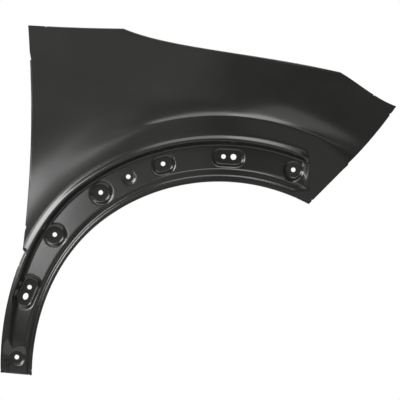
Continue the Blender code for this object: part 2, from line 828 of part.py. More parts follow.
def fold_channel_edges(sheet, channel):
    """Flanges of the wheel arch, the leg and the foot."""
    arch = [channel.vertex(column, 0) for column in range(1, channel.last_column)]
    square_fold(sheet, arch, 1, ARCH_FLANGE)
    leg = [channel.vertex(column, channel.last_row) for column in range(1, channel.notch)]
    square_fold(sheet, leg, -1, LEG_FLANGE)
    foot = [channel.vertex(0, row) for row in range(1, channel.last_row)]
    add_tab(sheet, square_fold(sheet, foot, -1, FOOT_FLANGE), FOOT_TAB_LENGTH)


def fold_door_edge(sheet, skin):
    """Flange of the door edge, with the upper tab."""
    chain = [row[0] for row in skin.rows[1:-1]]
    flange = square_fold(sheet, chain, -1, DOOR_FLANGE)
    tab = min(range(len(flange) - 1), key=lambda i: abs(flange[i].co.z + flange[i + 1].co.z - 2 * DOOR_TAB_Z))
    add_tab(sheet, flange[tab:tab + 2], DOOR_TAB_LENGTH)


def fold_bumper_edge(sheet, channel, skin):
    """Flange of the bumper edge, from the arch corner to the tip."""
    chain = [channel.vertex(channel.last_column, row) for row in range(1, channel.last_row + 1)]
    chain += [row[-1] for row in skin.rows[1:-1]]
    square_fold(sheet, chain, 1, BUMPER_FLANGE)


def fold_top_edge(sheet, skin):
    """Flanges of the top edge: rear top, hood gutter wall and lamp edge, in one run."""
    turns, lengths = [], []
    for column in range(1, skin.last_column):
        hood = skin.hood_rear <= column <= skin.hood_front
        rear = column < skin.hood_rear
        turns.append(HOOD_TURN if hood else SQUARE_TURN)
        lengths.append(HOOD_WALL if hood else REAR_TOP_FLANGE if rear else LAMP_FLANGE)
    wall = fold(sheet, skin.rows[-1][1:-1], -1, turns, lengths)
    return wall[skin.hood_rear:skin.hood_front - 1]


def pad_cells(wall):
    """First cell of each mounting pad along the hood gutter."""
    cells = len(wall) - 1
    return [round(share * (cells - PAD_CELLS)) for share in HOOD_PAD_PLACE_SHARES]


def build_ledge(sheet, wall):
    """Ledge at the foot of the hood gutter wall, with its level mounting pads."""
    widths = [HOOD_LEDGE] * len(wall)
    for cell in pad_cells(wall):
        pad = range(cell, cell + PAD_CELLS + 1)
        level = sum(wall[i].co.z for i in pad) / len(pad)
        for i in pad:
            wall[i].co.z = level
            widths[i] = HOOD_PAD_WIDTH
    edge = [sheet.add(v.co.x, v.co.y + width, v.co.z) for v, width in zip(wall, widths)]
    holed = [cell + PAD_CELLS // 2 for cell in pad_cells(wall)]
    for i in range(len(wall) - 1):
        corners = [wall[i], wall[i + 1], edge[i + 1], edge[i]]
        if i in holed:
            centre = sum((corner.co for corner in corners), Vector()) / len(corners)
            hole = screw_hole(sheet, centre, Vector((1.0, 0.0, 0.0)), Vector((0.0, 1.0, 0.0)))
            sheet.fill(corners, [hole])
        else:
            sheet.face(*corners)
    return edge


def pad_seat(wall, edge):
    """Middle of the underside of the first cell of the middle mounting pad."""
    cell = pad_cells(wall)[1]
    corners = (wall[cell], wall[cell + 1], edge[cell + 1], edge[cell])
    middle = sum((corner.co for corner in corners), Vector()) / len(corners)
    return middle - Vector((0.0, 0.0, SHEET_THICKNESS))


# Panel

def build_sheet():
    """Lay the channel, the skin and the flanges, and find the pad that the panel hangs on."""
    sheet = Sheet()
    channel = Channel(sheet)
    channel.build()
    skin = Skin(sheet, channel)
    skin.build()
    fold_channel_edges(sheet, channel)
    fold_door_edge(sheet, skin)
    fold_bumper_edge(sheet, channel, skin)
    wall = fold_top_edge(sheet, skin)
    origin = pad_seat(wall, build_ledge(sheet, wall))
    bmesh.ops.recalc_face_normals(sheet.mesh, faces=sheet.mesh.faces)
    facing = channel.vertex(1, 1).link_faces[0]
    if facing.normal.y > 0:
        bmesh.ops.reverse_faces(sheet.mesh, faces=sheet.mesh.faces)
    bmesh.ops.translate(sheet.mesh, verts=sheet.mesh.verts, vec=-origin)
    return sheet.mesh


def primer_material():
    """Black primer that the panel is dipped in."""
    material = bpy.data.materials.new("black_primer")
    material.use_nodes = True
    shader = material.node_tree.nodes["Principled BSDF"]
    shader.inputs["Base Color"].default_value = PRIMER_COLOUR
    shader.inputs["Roughness"].default_value = PRIMER_ROUGHNESS
    shader.inputs["Metallic"].default_value = PRIMER_METALLIC
    return material


def build_panel():
    """The fender panel, with its sheet thickness inward of the skin."""
    mesh = bpy.data.meshes.new("fender_panel")
    sheet = build_sheet()
    sheet.to_mesh(mesh)
    sheet.free()
    mesh.materials.append(primer_material())
    mesh.shade_smooth()
    mesh.set_sharp_from_angle(angle=math.radians(SHARP_ANGLE))
    panel = bpy.data.objects.new("fender_panel", mesh)
    bpy.context.scene.collection.objects.link(panel)
    solidify = panel.modifiers.new("sheet_thickness", "SOLIDIFY")
    solidify.thickness = SHEET_THICKNESS
    solidify.offset = -1
    solidify.use_even_offset = True
    return panel


def main():
    """Clear the scene and build the fender."""
    for item in list(bpy.data.objects):
        bpy.data.objects.remove(item, do_unlink=True)
    build_panel()


main()
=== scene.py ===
"""Finished look of the car fender: the pressed panel in fine mesh, its black primer and a studio."""
import math
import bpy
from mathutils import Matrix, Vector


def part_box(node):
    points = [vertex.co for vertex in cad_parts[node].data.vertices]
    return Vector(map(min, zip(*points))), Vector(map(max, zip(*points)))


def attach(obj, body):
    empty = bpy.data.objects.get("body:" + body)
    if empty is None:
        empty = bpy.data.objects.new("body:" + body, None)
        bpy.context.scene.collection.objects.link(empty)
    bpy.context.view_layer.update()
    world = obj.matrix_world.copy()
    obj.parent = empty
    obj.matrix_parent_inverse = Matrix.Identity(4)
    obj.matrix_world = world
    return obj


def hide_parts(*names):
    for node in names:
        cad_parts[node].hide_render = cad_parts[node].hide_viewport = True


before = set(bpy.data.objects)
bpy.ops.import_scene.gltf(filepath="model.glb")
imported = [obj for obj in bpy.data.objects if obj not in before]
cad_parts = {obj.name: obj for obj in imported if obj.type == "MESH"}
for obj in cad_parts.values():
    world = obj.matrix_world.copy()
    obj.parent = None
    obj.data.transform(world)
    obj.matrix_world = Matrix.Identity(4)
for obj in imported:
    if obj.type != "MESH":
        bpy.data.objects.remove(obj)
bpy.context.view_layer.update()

from types import SimpleNamespace
from typing import NamedTuple

import bmesh
import bpy
from bpy.props import FloatProperty, FloatVectorProperty, PointerProperty
from mathutils import Matrix, Vector

bl_info = {
    "name": "Car Fender",
    "version": (1, 0, 0),
    "blender": (4, 5, 0),
    "location": "View3D > Sidebar > Fender",
    "description": "Builds a pressed steel car fender in black primer and the studio round it",
    "category": "Add Mesh",
}

CAD_NODE = "fender_panel"

# Azimuth, elevation, width and height of each lamp in degrees, and its brightness
LAMPS = {
    "left": (-56, 29, 42, 24, 14),
    "low": (-22, 12, 9, 12, 9),
    "top": (0, 76, 34, 40, 3.4),
    "right": (47, 57, 18, 18, 6.0),
    "glow": (45, 36, 26, 26, 1.2),
    "front": (-10, 16, 36, 38, 0.3),
    "side": (36, -3, 36, 11, 0.45),
}
LAMP_TURNS = {
    "azimuth": "Direction of the lamp, to the right of the camera",
    "elevation": "Height of the lamp",
    "width": "Angle that the lamp covers sideways",
    "height": "Angle that the lamp covers up and down",
}

# Widths that share a row of the channel with the one of the same place on the leg
CROWN_BANDS = ("lip_width", "lip_step_width", "shelf_width", "shelf_step_width",
               "channel_width", "channel_wall_width", "crest_width")
SHELF_BANDS = 4
FLOOR_LINE = 4
WALL_LINE = 5
CREST_LINE = 7
RIM_LINE = 8

# Shares of a column at which the press form has its rows, to the crease and beyond it
FLARE_ROW_SHARES = (0.45, 0.88, 1.0)
SKIN_ROW_SHARES = (0.03, 0.09, 0.18, 0.30, 0.44, 0.60, 0.80, 1.0)
TOP_LEVEL = len(FLARE_ROW_SHARES) + len(SKIN_ROW_SHARES)

# Cells into which the rows between two band lines, and between two rows of the skin, are divided
BAND_CELLS = (3, 5, 4, 4, 20, 7, 4, 6)
SKIN_CELLS = (4, 5, 8, 8, 4, 4, 4, 4, 4, 4, 4)

PAD_CELLS = 3
PAD_PLACE_SHARES = (0.06, 0.50, 0.94)
BISECTIONS = 26
CUTTER_SEGMENTS = 40
CUTTER_SHEETS = 6
FOLD_STEPS = 4
SHARP_ANGLE = math.radians(65)
THIN_FILM = (0.35, 0.7)
PATCH_NOISE = {"Detail": 4.0, "Roughness": 0.55}
GRAIN_NOISE = {"Detail": 2.0, "Roughness": 0.5}
SQUARE = math.pi / 2
INWARD = Vector((0.0, 1.0, 0.0))


def length(name, default, description):
    """A length that a user may change, in metres."""
    return FloatProperty(name=name, description=description, default=default, unit="LENGTH", precision=4)


def turn(name, default, description):
    """An angle that a user may change, given here in degrees and kept in radians."""
    return FloatProperty(name=name, description=description, default=math.radians(default), unit="ROTATION")


def factor(name, default, description):
    """A share that a user may change."""
    return FloatProperty(name=name, description=description, default=default, min=0, max=50)


class ArchSizes(bpy.types.PropertyGroup):
    """Wheel arch and leg. Angles run about the wheel centre from straight ahead, over the top."""

    sheet_thickness: length("Sheet thickness", 0.0008, "Thickness of the steel")
    fold_radius: length("Fold radius", 0.0022, "Radius at which free edges are folded inward")
    arch_radius: length("Arch radius", 0.4, "Radius of the wheel arch edge")
    front_angle: turn("Front end", 62, "Where the arch ends in front")
    notch_angle: turn("Notch", 147.5, "Where the door edge meets the leg")
    foot_angle: turn("Foot", 180, "Where the leg ends")
    leg_tuck: length("Leg tuck", 0.0117, "How far the arch edge draws in down the leg")
    leg_tuck_start: turn("Leg tuck start", 127, "Where the arch edge starts to draw in")
    leg_tuck_end: turn("Leg tuck end", 174, "Where the arch edge is drawn in fully")
    front_rake: turn("Front rake", 3.4, "Turn of the front end of the channel")
    foot_rake: turn("Foot rake", 0.4, "Turn of the foot")
    leg_top_width: length("Leg top width", 0.0822, "Width of the leg below the notch")
    leg_foot_width: length("Leg foot width", 0.065, "Width of the leg at its foot")
    leg_top_angle: turn("Leg top", 148.5, "Where the leg starts to narrow")
    leg_taper: factor("Leg taper", 0.4, "How soon the leg narrows")


class ChannelSizes(bpy.types.PropertyGroup):
    """Bands of the channel from the arch edge outward, and their heights inward from the skin."""

    lip_width: length("Lip", 0.0115, "Width of the lip over the crown")
    lip_step_width: length("Lip step", 0.0036, "Width of the step beside the lip")
    shelf_width: length("Shelf", 0.0107, "Width of the shelf")
    shelf_step_width: length("Shelf step", 0.0025, "Width of the step beside the shelf")
    channel_width: length("Floor", 0.0483, "Width of the channel floor")
    channel_wall_width: length("Wall", 0.0088, "Width of the outer wall of the channel")
    crest_width: length("Crest", 0.0037, "Width of the crest of the rim")
    rim_width: length("Rim", 0.0084, "Width of the slope outside the crest")
    leg_lip_width: length("Leg lip", 0.0075, "Width of the lip on the leg")
    leg_lip_step_width: length("Leg lip step", 0.0034, "Width of the lip step on the leg")
    leg_shelf_width: length("Leg shelf", 0.0034, "Width of the shelf on the leg")
    leg_shelf_step_width: length("Leg shelf step", 0.0050, "Width of the shelf step on the leg")
    leg_channel_width: length("Leg floor", 0.0231, "Width of the channel floor on the leg")
    leg_channel_wall_width: length("Leg wall", 0.0125, "Width of the channel wall on the leg")
    leg_crest_width: length("Leg crest", 0.0031, "Width of the crest on the leg")
    leg_rim_width: length("Leg rim", 0.014, "Width of the slope outside the crest above the leg")
    lip_height: length("Lip height", 0.0014, "How far the lip stands proud")
    shelf_depth: length("Shelf depth", 0.0014, "Depth of the shelf")
    leg_shelf_depth: length("Leg shelf depth", 0.0052, "Depth of the shelf on the leg")
    inner_depth: length("Inner floor depth", 0.0035, "Depth of the floor beside the shelf")
    outer_depth: length("Outer floor depth", 0.012, "Depth of the floor beside the outer wall")
    crest_height: length("Crest height", 0.0052, "How far the rim stands proud")
    leg_inner_depth: length("Leg inner depth", 0.002, "Depth of the leg floor beside the lip")
    leg_outer_depth: length("Leg outer depth", 0.0065, "Depth of the leg floor beside the wall")
    shelf_fade_start: turn("Shelf fade start", 100, "Where the shelf starts to narrow to the leg")
    shelf_fade_end: turn("Shelf fade end", 145, "Where the shelf has its width on the leg")
    channel_fade_start: turn("Floor fade start", 125, "Where the channel starts to narrow")
    channel_fade_end: turn("Floor fade end", 178, "Where the channel has its width on the leg")
    end_x: length("Front end", 0.1915, "Where the channel ends, ahead of the wheel centre")
    end_ramp: length("End ramp", 0.020, "Length over which the channel ends")
    corner_cut: length("Corner cut", 0.027, "How far the end leans back at the arch edge")
    foot_pad_start: turn("Foot pad start", 170.2, "Where the channel rises to the foot pad")
    foot_pad_end: turn("Foot pad end", 174.0, "Where the foot pad starts")
    foot_pad_share: factor("Foot pad depth", 0.8, "Share of the channel depth left at the foot pad")
    band_fillet: length("Band fillet", 0.0014, "Half the length over which two bands round into each other")


class SeatSizes(bpy.types.PropertyGroup):
    """Pressed seats for clips and screws, and their holes."""

    seat_depth: length("Depth", 0.0132, "Depth of a seat floor below the skin")
    foot_seat_depth: length("Foot depth", 0.0062, "Depth of the seat at the foot")
    ring_depth: length("Ring depth", 0.0083, "Depth of the shallow ring round the plain hole")
    seat_wall: length("Wall", 0.0083, "Width of a seat wall")
    wide_seat_wall: length("Wide wall", 0.012, "Width of the wall of the end seats")
    round_radius: length("Round radius", 0.0192, "Radius of a round seat floor")
    small_radius: length("Small radius", 0.016, "Radius of the front seat floor")
    foot_radius: length("Foot radius", 0.014, "Radius of the foot seat floor")
    ring_radius: length("Ring radius", 0.013, "Radius of the shallow ring")
    long_length: length("Long length", 0.061, "Length of a seat with two holes")
    long_width: length("Long width", 0.0305, "Width of a seat with two holes")
    long_corner: length("Long corner", 0.013, "Corner radius of a seat with two holes")
    oval_length: length("Oval length", 0.04, "Length of the oval seat")
    oval_width: length("Oval width", 0.0315, "Width of the oval seat")
    oval_corner: length("Oval corner", 0.0125, "Corner radius of the oval seat")
    leg_shift: length("Leg shift", 0.0042, "How far seats on the leg lie off the middle")
    seat_blend: length("Blend", 0.0016, "Fillet between a seat and the floor")
    hole: length("Hole", 0.0094, "Diameter of the holes")
    wide_hole: length("Wide hole", 0.012, "Diameter of the wide hole")
    slot_length: length("Slot length", 0.0144, "Length of the oval hole")
    slot_width: length("Slot width", 0.0108, "Width of the oval hole")
    hole_spacing: length("Hole spacing", 0.0207, "Distance between two holes of one seat")


class SkinSizes(bpy.types.PropertyGroup):
    """Outer skin: flare, shoulder, crown, sweep to the front and tuck of the leg."""

    flare_radius: length("Flare radius", 0.5378, "Radius of the crease of the flare")
    flare_depth: length("Flare depth", 0.0205, "How far the skin falls in beyond the crease")
    flare_spread: length("Flare spread", 0.0345, "Distance over which it falls in")
    crease_radius: length("Crease softness", 0.0011, "Softness of the crease over the crown")
    crease_step: length("Crease step", 0.0012, "Extra fall right beside the crease over the crown")
    crease_spread: length("Crease spread", 0.0018, "Distance over which the extra fall happens")
    rear_softness: length("Rear softness", 0.023, "Softness of the crease at the rear")
    front_softness: length("Front softness", 0.012, "Softness of the crease in front")
    flare_rear_start: turn("Rear fade start", 103, "Where the crease starts to soften to the rear")
    flare_rear_end: turn("Rear fade end", 130, "Where the crease is softest at the rear")
    flare_front_start: turn("Front fade end", 50, "Where the crease is softest in front")
    flare_front_end: turn("Front fade start", 68, "Where the crease starts to soften to the front")
    shoulder_z: length("Shoulder level", 0.572, "Height of the shoulder above the wheel centre")
    shoulder_depth: length("Shoulder depth", 0.009, "How far the skin falls in at the shoulder")
    shoulder_height: length("Shoulder height", 0.072, "Height over which it falls in")
    shoulder_end_x: length("Shoulder end", 0.15, "Where the shoulder has faded out")
    shoulder_fade: length("Shoulder fade", 0.450, "Distance over which the shoulder fades")
    crown_start_z: length("Crown start", 0.6, "Height from which the skin crowns inward")
    crown_span: length("Crown span", 0.126, "Height of the crowned part")
    crown_depth: length("Crown depth", 0.017, "How far the crown falls in")
    sweep_start_x: length("Sweep start", -0.1, "Where the skin starts to sweep in to the front")
    sweep_span: length("Sweep span", 0.47, "Length of the sweep")
    sweep_depth: length("Sweep depth", 0.105, "How far the sweep falls in")
    tuck_start_z: length("Tuck start", 0.15, "Height below which the leg tucks in")
    tuck_span: length("Tuck span", 0.15, "Height of the tuck")
    tuck_depth: length("Tuck depth", 0.008, "How far the leg tucks in")


class OutlineSizes(bpy.types.PropertyGroup):
    """Corners of the side view about the wheel centre, and the handles that bend the edges."""

    rear_top_x: length("Rear top x", -0.3967, "Rear top corner")
    rear_top_z: length("Rear top z", 0.726, "Rear top corner")
    hood_rear_x: length("Hood rear x", -0.1976, "Rear end of the hood line")
    hood_rear_z: length("Hood rear z", 0.7191, "Rear end of the hood line")
    hood_front_x: length("Hood front x", 0.2537, "Front end of the hood line")
    hood_front_z: length("Hood front z", 0.6286, "Front end of the hood line")
    tip_x: length("Tip x", 0.3714, "Front tip")
    tip_z: length("Tip z", 0.5578, "Front tip")
    door_lower_x: length("Door lower x", 0.0197, "Handle of the door edge at the notch")
    door_lower_z: length("Door lower z", 0.169, "Handle of the door edge at the notch")
    door_upper_x: length("Door upper x", 0.0107, "Handle of the door edge at the top")
    door_upper_z: length("Door upper z", -0.156, "Handle of the door edge at the top")
    rear_out_x: length("Rear edge start x", 0.0667, "Handle at the start of the rear top edge")
    rear_out_z: length("Rear edge start z", -0.004, "Handle at the start of the rear top edge")
    rear_in_x: length("Rear edge end x", -0.0624, "Handle at the end of the rear top edge")
    rear_in_z: length("Rear edge end z", 0.0005, "Handle at the end of the rear top edge")
    hood_out_x: length("Hood line start x", 0.1, "Handle at the start of the hood line")
    hood_out_z: length("Hood line start z", -0.0421, "Handle at the start of the hood line")
    hood_in_x: length("Hood line end x", -0.19, "Handle at the end of the hood line")
    hood_in_z: length("Hood line end z", 0.0424, "Handle at the end of the hood line")
    lamp_out_x: length("Lamp edge start x", 0.0363, "Handle at the start of the lamp edge")
    lamp_out_z: length("Lamp edge start z", -0.0206, "Handle at the start of the lamp edge")
    lamp_in_x: length("Lamp edge end x", -0.0434, "Handle at the end of the lamp edge")
    lamp_in_z: length("Lamp edge end z", 0.0152, "Handle at the end of the lamp edge")
    bumper_out_x: length("Bumper edge start x", 0.048, "Handle at the foot of the bumper edge")
    bumper_out_z: length("Bumper edge start z", 0.044, "Handle at the foot of the bumper edge")
    bumper_in_x: length("Bumper edge end x", -0.0254, "Handle at the tip of the bumper edge")
    bumper_in_z: length("Bumper edge end z", -0.0368, "Handle at the tip of the bumper edge")


class FlangeSizes(bpy.types.PropertyGroup):
    """Flanges that are folded in at the free edges."""

    arch_flange: length("Arch", 0.014, "Flange of the wheel arch")
    leg_flange: length("Leg", 0.012, "Flange of the rear edge of the leg")
    door_flange: length("Door", 0.012, "Flange of the door edge")
    rear_top_flange: length("Rear top", 0.015, "Flange of the rear top edge")
    lamp_flange: length("Lamp", 0.014, "Flange of the lamp edge")
    bumper_flange: length("Bumper", 0.017, "Flange of the bumper edge")
    foot_flange: length("Foot", 0.006, "Flange of the foot")
    foot_tab: length("Foot tab", 0.024, "Length of the tab at the foot")
    door_tab: length("Door tab", 0.03, "Length of the tab of the door edge")
    door_tab_z: length("Door tab level", 0.61, "Height of the door tab above the wheel centre")
    tab_taper: factor("Tab taper", 0.18, "Share by which a tab narrows on each side")
    hood_wall: length("Hood wall", 0.03, "Depth of the hood gutter")
    hood_turn: turn("Hood turn", 155, "Turn of the hood gutter wall")
    hood_ledge: length("Hood ledge", 0.012, "Width of the ledge of the hood gutter")
    pad_width: length("Pad width", 0.027, "Width of the mounting pads on the ledge")
    screw_hole: length("Screw hole", 0.008, "Diameter of the screw holes in tabs and pads")
    hood_rear_angle: turn("Hood rear column", 124, "Where the hood line starts, seen from the wheel")
    hood_front_angle: turn("Hood front column", 73.6, "Where the hood line ends, seen from the wheel")
    form_pitch: length("Form pitch", 0.023, "Distance between the columns of the press form")
    mesh_pitch: length("Mesh pitch", 0.0025, "Distance between the columns of the fine mesh")
    end_pitch: length("End pitch", 0.0016, "Distance between the columns at the ends of the channel")
    fine_front_angle: turn("Fine front", 72, "Where the finer columns start in front")
    fine_foot_angle: turn("Fine foot", 170, "Where the finer columns start at the foot")


class PrimerLook(bpy.types.PropertyGroup):
    """Black primer from the dip bath."""

    colour: FloatVectorProperty(name="Colour", description="Colour of the primer", subtype="COLOR",
                                size=3, min=0, max=1, default=(0.0090, 0.0092, 0.0080))
    faded_colour: FloatVectorProperty(name="Faded colour", description="Colour where the film is thin",
                                      subtype="COLOR", size=3, min=0, max=1, default=(0.0115, 0.0117, 0.0103))
    roughness: factor("Roughness", 0.2, "Roughness of the film")
    roughness_range: factor("Roughness range", 0.04, "How much the roughness wanders")
    film_scale: FloatProperty(name="Film scale", description="Patches of the film in a metre", default=9.0)
    grain_scale: FloatProperty(name="Grain scale", description="Grains of the film in a metre", default=650.0)
    grain_height: length("Grain height", 0.000001, "Height of the fine grain of the film")
    specular: factor("Specular", 0.5, "Strength of the plain reflection")


class StudioLook(bpy.types.PropertyGroup):
    """Camera, lamps, floor and background."""

    camera_distance: length("Camera distance", 25.0, "Distance from the camera to the panel")
    view_x: length("View x", 0.0192, "Point that the camera looks at")
    view_z: length("View z", -0.2892, "Point that the camera looks at")
    view_width: length("View width", 0.8338, "Width of the picture at the panel")
    floor_gap: length("Floor gap", 0.35, "Distance from the foot down to the floor")
    floor_size: length("Floor size", 2.8, "Side of the floor")
    floor_colour: factor("Floor colour", 0.8, "Brightness of the floor's own colour")
    floor_glow: factor("Floor glow", 0.75, "How far the floor is white to the camera by itself")
    world_light: factor("World light", 0.15, "Strength of the even light from all round")
    gloss_white: factor("White in the gloss", 0.1, "How bright the background is in reflections")
    lamp_distance: length("Lamp distance", 6.0, "Distance from the lamps to the panel")


def add_lamp_properties():
    """Give the studio the angles and the brightness of every lamp."""
    for name, (*angles, brightness) in LAMPS.items():
        label = name.capitalize() + " lamp "
        for (key, description), angle in zip(LAMP_TURNS.items(), angles):
            StudioLook.__annotations__[name + "_" + key] = turn(label + key, angle, description)
        StudioLook.__annotations__[name + "_brightness"] = factor(
            label + "brightness", brightness, "Brightness of the lamp's face, where white is 1")


add_lamp_properties()

SHAPE_GROUPS = {"fender_arch": ArchSizes, "fender_channel": ChannelSizes, "fender_seats": SeatSizes,
                "fender_skin": SkinSizes, "fender_outline": OutlineSizes, "fender_flanges": FlangeSizes}
LOOK_GROUPS = {"fender_primer": PrimerLook, "fender_studio": StudioLook}


def shape_sizes(scene):
    """All sizes of the shape as plain numbers, which are quick to read."""
    values = {}
    for name, group in SHAPE_GROUPS.items():
        holder = getattr(scene, name)
        values.update({key: getattr(holder, key) for key in group.__annotations__})
    return SimpleNamespace(**values)


class Hole(NamedTuple):
    """Pierced hole, placed along the arch from the centre of its seat."""

    offset: float
    length: float
    width: float


class Seat(NamedTuple):
    """Pressed seat in the channel: its flat floor, sloping wall and holes."""

    angle: float
    length: float
    width: float
    corner: float
    wall: float
    depth: float
    shift_share: float
    columns: int
    holes: tuple


def mix(first, second, share):
    """Value or vector at a share of the way from the first to the second."""
    return first + (second - first) * share


def smooth_share(value, start, end):
    """Smooth rise from 0 at start to 1 at end."""
    share = min(max((value - start) / (end - start), 0.0), 1.0)
    return share * share * (3 - 2 * share)


def soft_positive(value, blend):
    """Value where it is above zero and zero below, rounded over the blend length."""
    if value <= -blend:
        return 0.0
    if value >= blend:
        return value
    return (value + blend) ** 2 / (4 * blend)


def polar(point):
    """Radius and angle of a point of the side view, with the angle running on past half a turn."""
    angle = math.atan2(point.y, point.x)
    return point.length, angle + math.tau if angle < -SQUARE else angle


def side_point(radius, angle):
    """Point of the side view at a radius and an angle about the wheel centre."""
    return Vector((radius * math.cos(angle), radius * math.sin(angle)))


def between(values, place):
    """Value at a place in a list, between two entries for a part of a number."""
    first = min(int(place), len(values) - 2)
    return mix(values[first], values[first + 1], place - first)


def filleted_line(places, heights, place, fillet):
    """Height at a place on straight lines through the given points, with fillets at their corners."""
    height = heights[0]
    slope = 0.0
    for i in range(len(places) - 1):
        steeper = (heights[i + 1] - heights[i]) / (places[i + 1] - places[i])
        height += (steeper - slope) * soft_positive(place - places[i], fillet)
        slope = steeper
    return height - slope * soft_positive(place - places[-1], fillet)


def bezier(points, share):
    """Point at a share of a Bezier curve, and its direction of travel."""
    level = list(points)
    while len(level) > 2:
        level = [mix(first, second, share) for first, second in zip(level, level[1:])]
    return mix(level[0], level[1], share), (level[1] - level[0]).normalized()


def beside_edge(points, share, inset):
    """Point on an edge of the side view, moved to the right of its direction of travel."""
    point, travel = bezier(points, share)
    return point + Vector((travel.y, -travel.x)) * inset


class PressForm:
    """The form that the panel is pressed to: bands of the channel, seats and depth of the skin."""

    def __init__(self, sizes):
        self.s = sizes
        self.seats = self.seat_table()

    def seat_table(self):
        """The seats from the foot to the front."""
        s = self.s
        one = (Hole(0.0, s.hole, s.hole),)
        off = s.hole_spacing / 2
        slot = (Hole(off, s.slot_length, s.slot_width), Hole(-off, s.hole, s.hole))
        pair = (Hole(off, s.hole, s.hole), Hole(-off, s.wide_hole, s.wide_hole))
        long_form = (s.long_length, s.long_width, s.long_corner, s.seat_wall, s.seat_depth)
        oval_form = (s.oval_length, s.oval_width, s.oval_corner, s.seat_wall, s.seat_depth)

        def round_form(radius, wall, depth):
            return 2 * radius, 2 * radius, radius, wall, depth

        table = (
            (175.2, round_form(s.foot_radius, s.wide_seat_wall, s.foot_seat_depth), 0.45, 6, one),
            (156.7, long_form, 0.9, 8, slot),
            (139.6, round_form(s.round_radius, s.seat_wall, s.seat_depth), 1.1, 6, one),
            (123.0, round_form(s.round_radius, s.seat_wall, s.seat_depth), 0.0, 6, one),
            (114.6, round_form(s.ring_radius, s.seat_wall, s.ring_depth), 0.0, 6, one),
            (104.8, oval_form, 0.0, 6, one),
            (87.4, long_form, 0.0, 8, pair),
            (69.9, round_form(s.small_radius, s.wide_seat_wall, s.seat_depth), 0.0, 6, one),
        )
        return [Seat(math.radians(angle), *form, shift, columns, holes)
                for angle, form, shift, columns, holes in table]

    def arch_radius(self, angle):
        """Radius of the arch edge, which draws in a little down the leg."""
        s = self.s
        return s.arch_radius - s.leg_tuck * smooth_share(angle, s.leg_tuck_start, s.leg_tuck_end)

    def leg_width(self, angle):
        """Width of the leg from the arch edge to its rear edge."""
        s = self.s
        share = min(max((angle - s.leg_top_angle) / (s.foot_angle - s.leg_top_angle), 0.0), 1.0)
        return mix(s.leg_top_width, s.leg_foot_width, share * (1 + s.leg_taper * (1 - share)))

    def band_radii(self, angle):
        """Radii of the nine band lines at an angle, from the arch edge to the outside of the rim."""
        s = self.s
        shelf_leg = smooth_share(angle, s.shelf_fade_start, s.shelf_fade_end)
        channel_leg = smooth_share(angle, s.channel_fade_start, s.channel_fade_end)
        crown_reach = leg_reach = 0.0
        reaches = [0.0]
        for i, band in enumerate(CROWN_BANDS):
            crown_reach += getattr(s, band)
            leg_reach += getattr(s, "leg_" + band)
            reaches.append(mix(crown_reach, leg_reach, shelf_leg if i < SHELF_BANDS else channel_leg))
        if angle > s.notch_angle:
            reaches.append(self.leg_width(angle))
        else:
            reaches.append(reaches[-1] + mix(s.rim_width, s.leg_rim_width, channel_leg))
        edge = self.arch_radius(angle)
        return [edge + reach for reach in reaches]

    def channel_share(self, radius, angle, radii):
        """How far the channel is pressed at a point: 1 along the arch, less at its ends."""
        s = self.s
        cut = s.corner_cut * (1 - smooth_share(radius, radii[1], radii[FLOOR_LINE]))
        end_x = s.end_x - cut
        front = 1 - smooth_share(side_point(radius, angle).x, end_x - s.end_ramp, end_x)
        return front * mix(1.0, s.foot_pad_share, smooth_share(angle, s.foot_pad_start, s.foot_pad_end))

    def channel_depth(self, radius, angle):
        """Depth of the channel, its rim and its lip, inward from the skin beside it."""
        s = self.s
        radii = self.band_radii(angle)
        if radius >= radii[-1] + s.band_fillet:
            return 0.0
        leg = smooth_share(angle, s.channel_fade_start, s.channel_fade_end)
        inner = mix(s.inner_depth, s.leg_inner_depth, leg)
        outer = mix(s.outer_depth, s.leg_outer_depth, leg)
        shelf_leg = smooth_share(angle, s.shelf_fade_start, s.shelf_fade_end)
        shelf = mix(s.shelf_depth, s.leg_shelf_depth, shelf_leg)
        depths = [-s.lip_height, -s.lip_height, shelf, shelf,
                  inner, outer, -s.crest_height, -s.crest_height, 0.0]
        depth = filleted_line(radii, depths, radius, s.band_fillet)
        return depth * self.channel_share(radius, angle, radii)

    def sweep_slope(self, x):
        """Slope with which the skin falls away toward the front of the car."""
        s = self.s
        return 2 * s.sweep_depth * max((x - s.sweep_start_x) / s.sweep_span, 0.0) / s.sweep_span

    def body_depth(self, point):
        """Depth of the plain body side: its sweep to the front, shoulder, crown and tuck."""
        s = self.s
        x, z = point
        sweep = s.sweep_depth * max((x - s.sweep_start_x) / s.sweep_span, 0.0) ** 2
        shoulder_foot = s.shoulder_z - s.shoulder_height / 2
        shoulder = s.shoulder_depth * smooth_share(z, shoulder_foot, shoulder_foot + s.shoulder_height)
        shoulder *= 1 - smooth_share(x, s.shoulder_end_x - s.shoulder_fade, s.shoulder_end_x)
        crown = s.crown_depth * max((z - s.crown_start_z) / s.crown_span, 0.0) ** 2
        tuck = s.tuck_depth * max((s.tuck_start_z - z) / s.tuck_span, 0.0) ** 2
        return sweep + shoulder + crown + tuck

    def flare_fall(self, radius, angle):
        """Depth that the skin falls in beyond the crease of the flare."""
        s = self.s
        rear = smooth_share(angle, s.flare_rear_start, s.flare_rear_end)
        front = 1 - smooth_share(angle, s.flare_front_start, s.flare_front_end)
        soft = mix(mix(s.crease_radius, s.rear_softness, rear), s.front_softness, front)
        reach = radius - s.flare_radius
        beyond = max(reach, 0.0) + soft * math.log1p(math.exp(-abs(reach) / soft))
        step = s.crease_step * (1 - rear) * (1 - front) * (1 - math.exp(-beyond / s.crease_spread))
        return step + s.flare_depth * (1 - math.exp(-beyond / s.flare_spread))

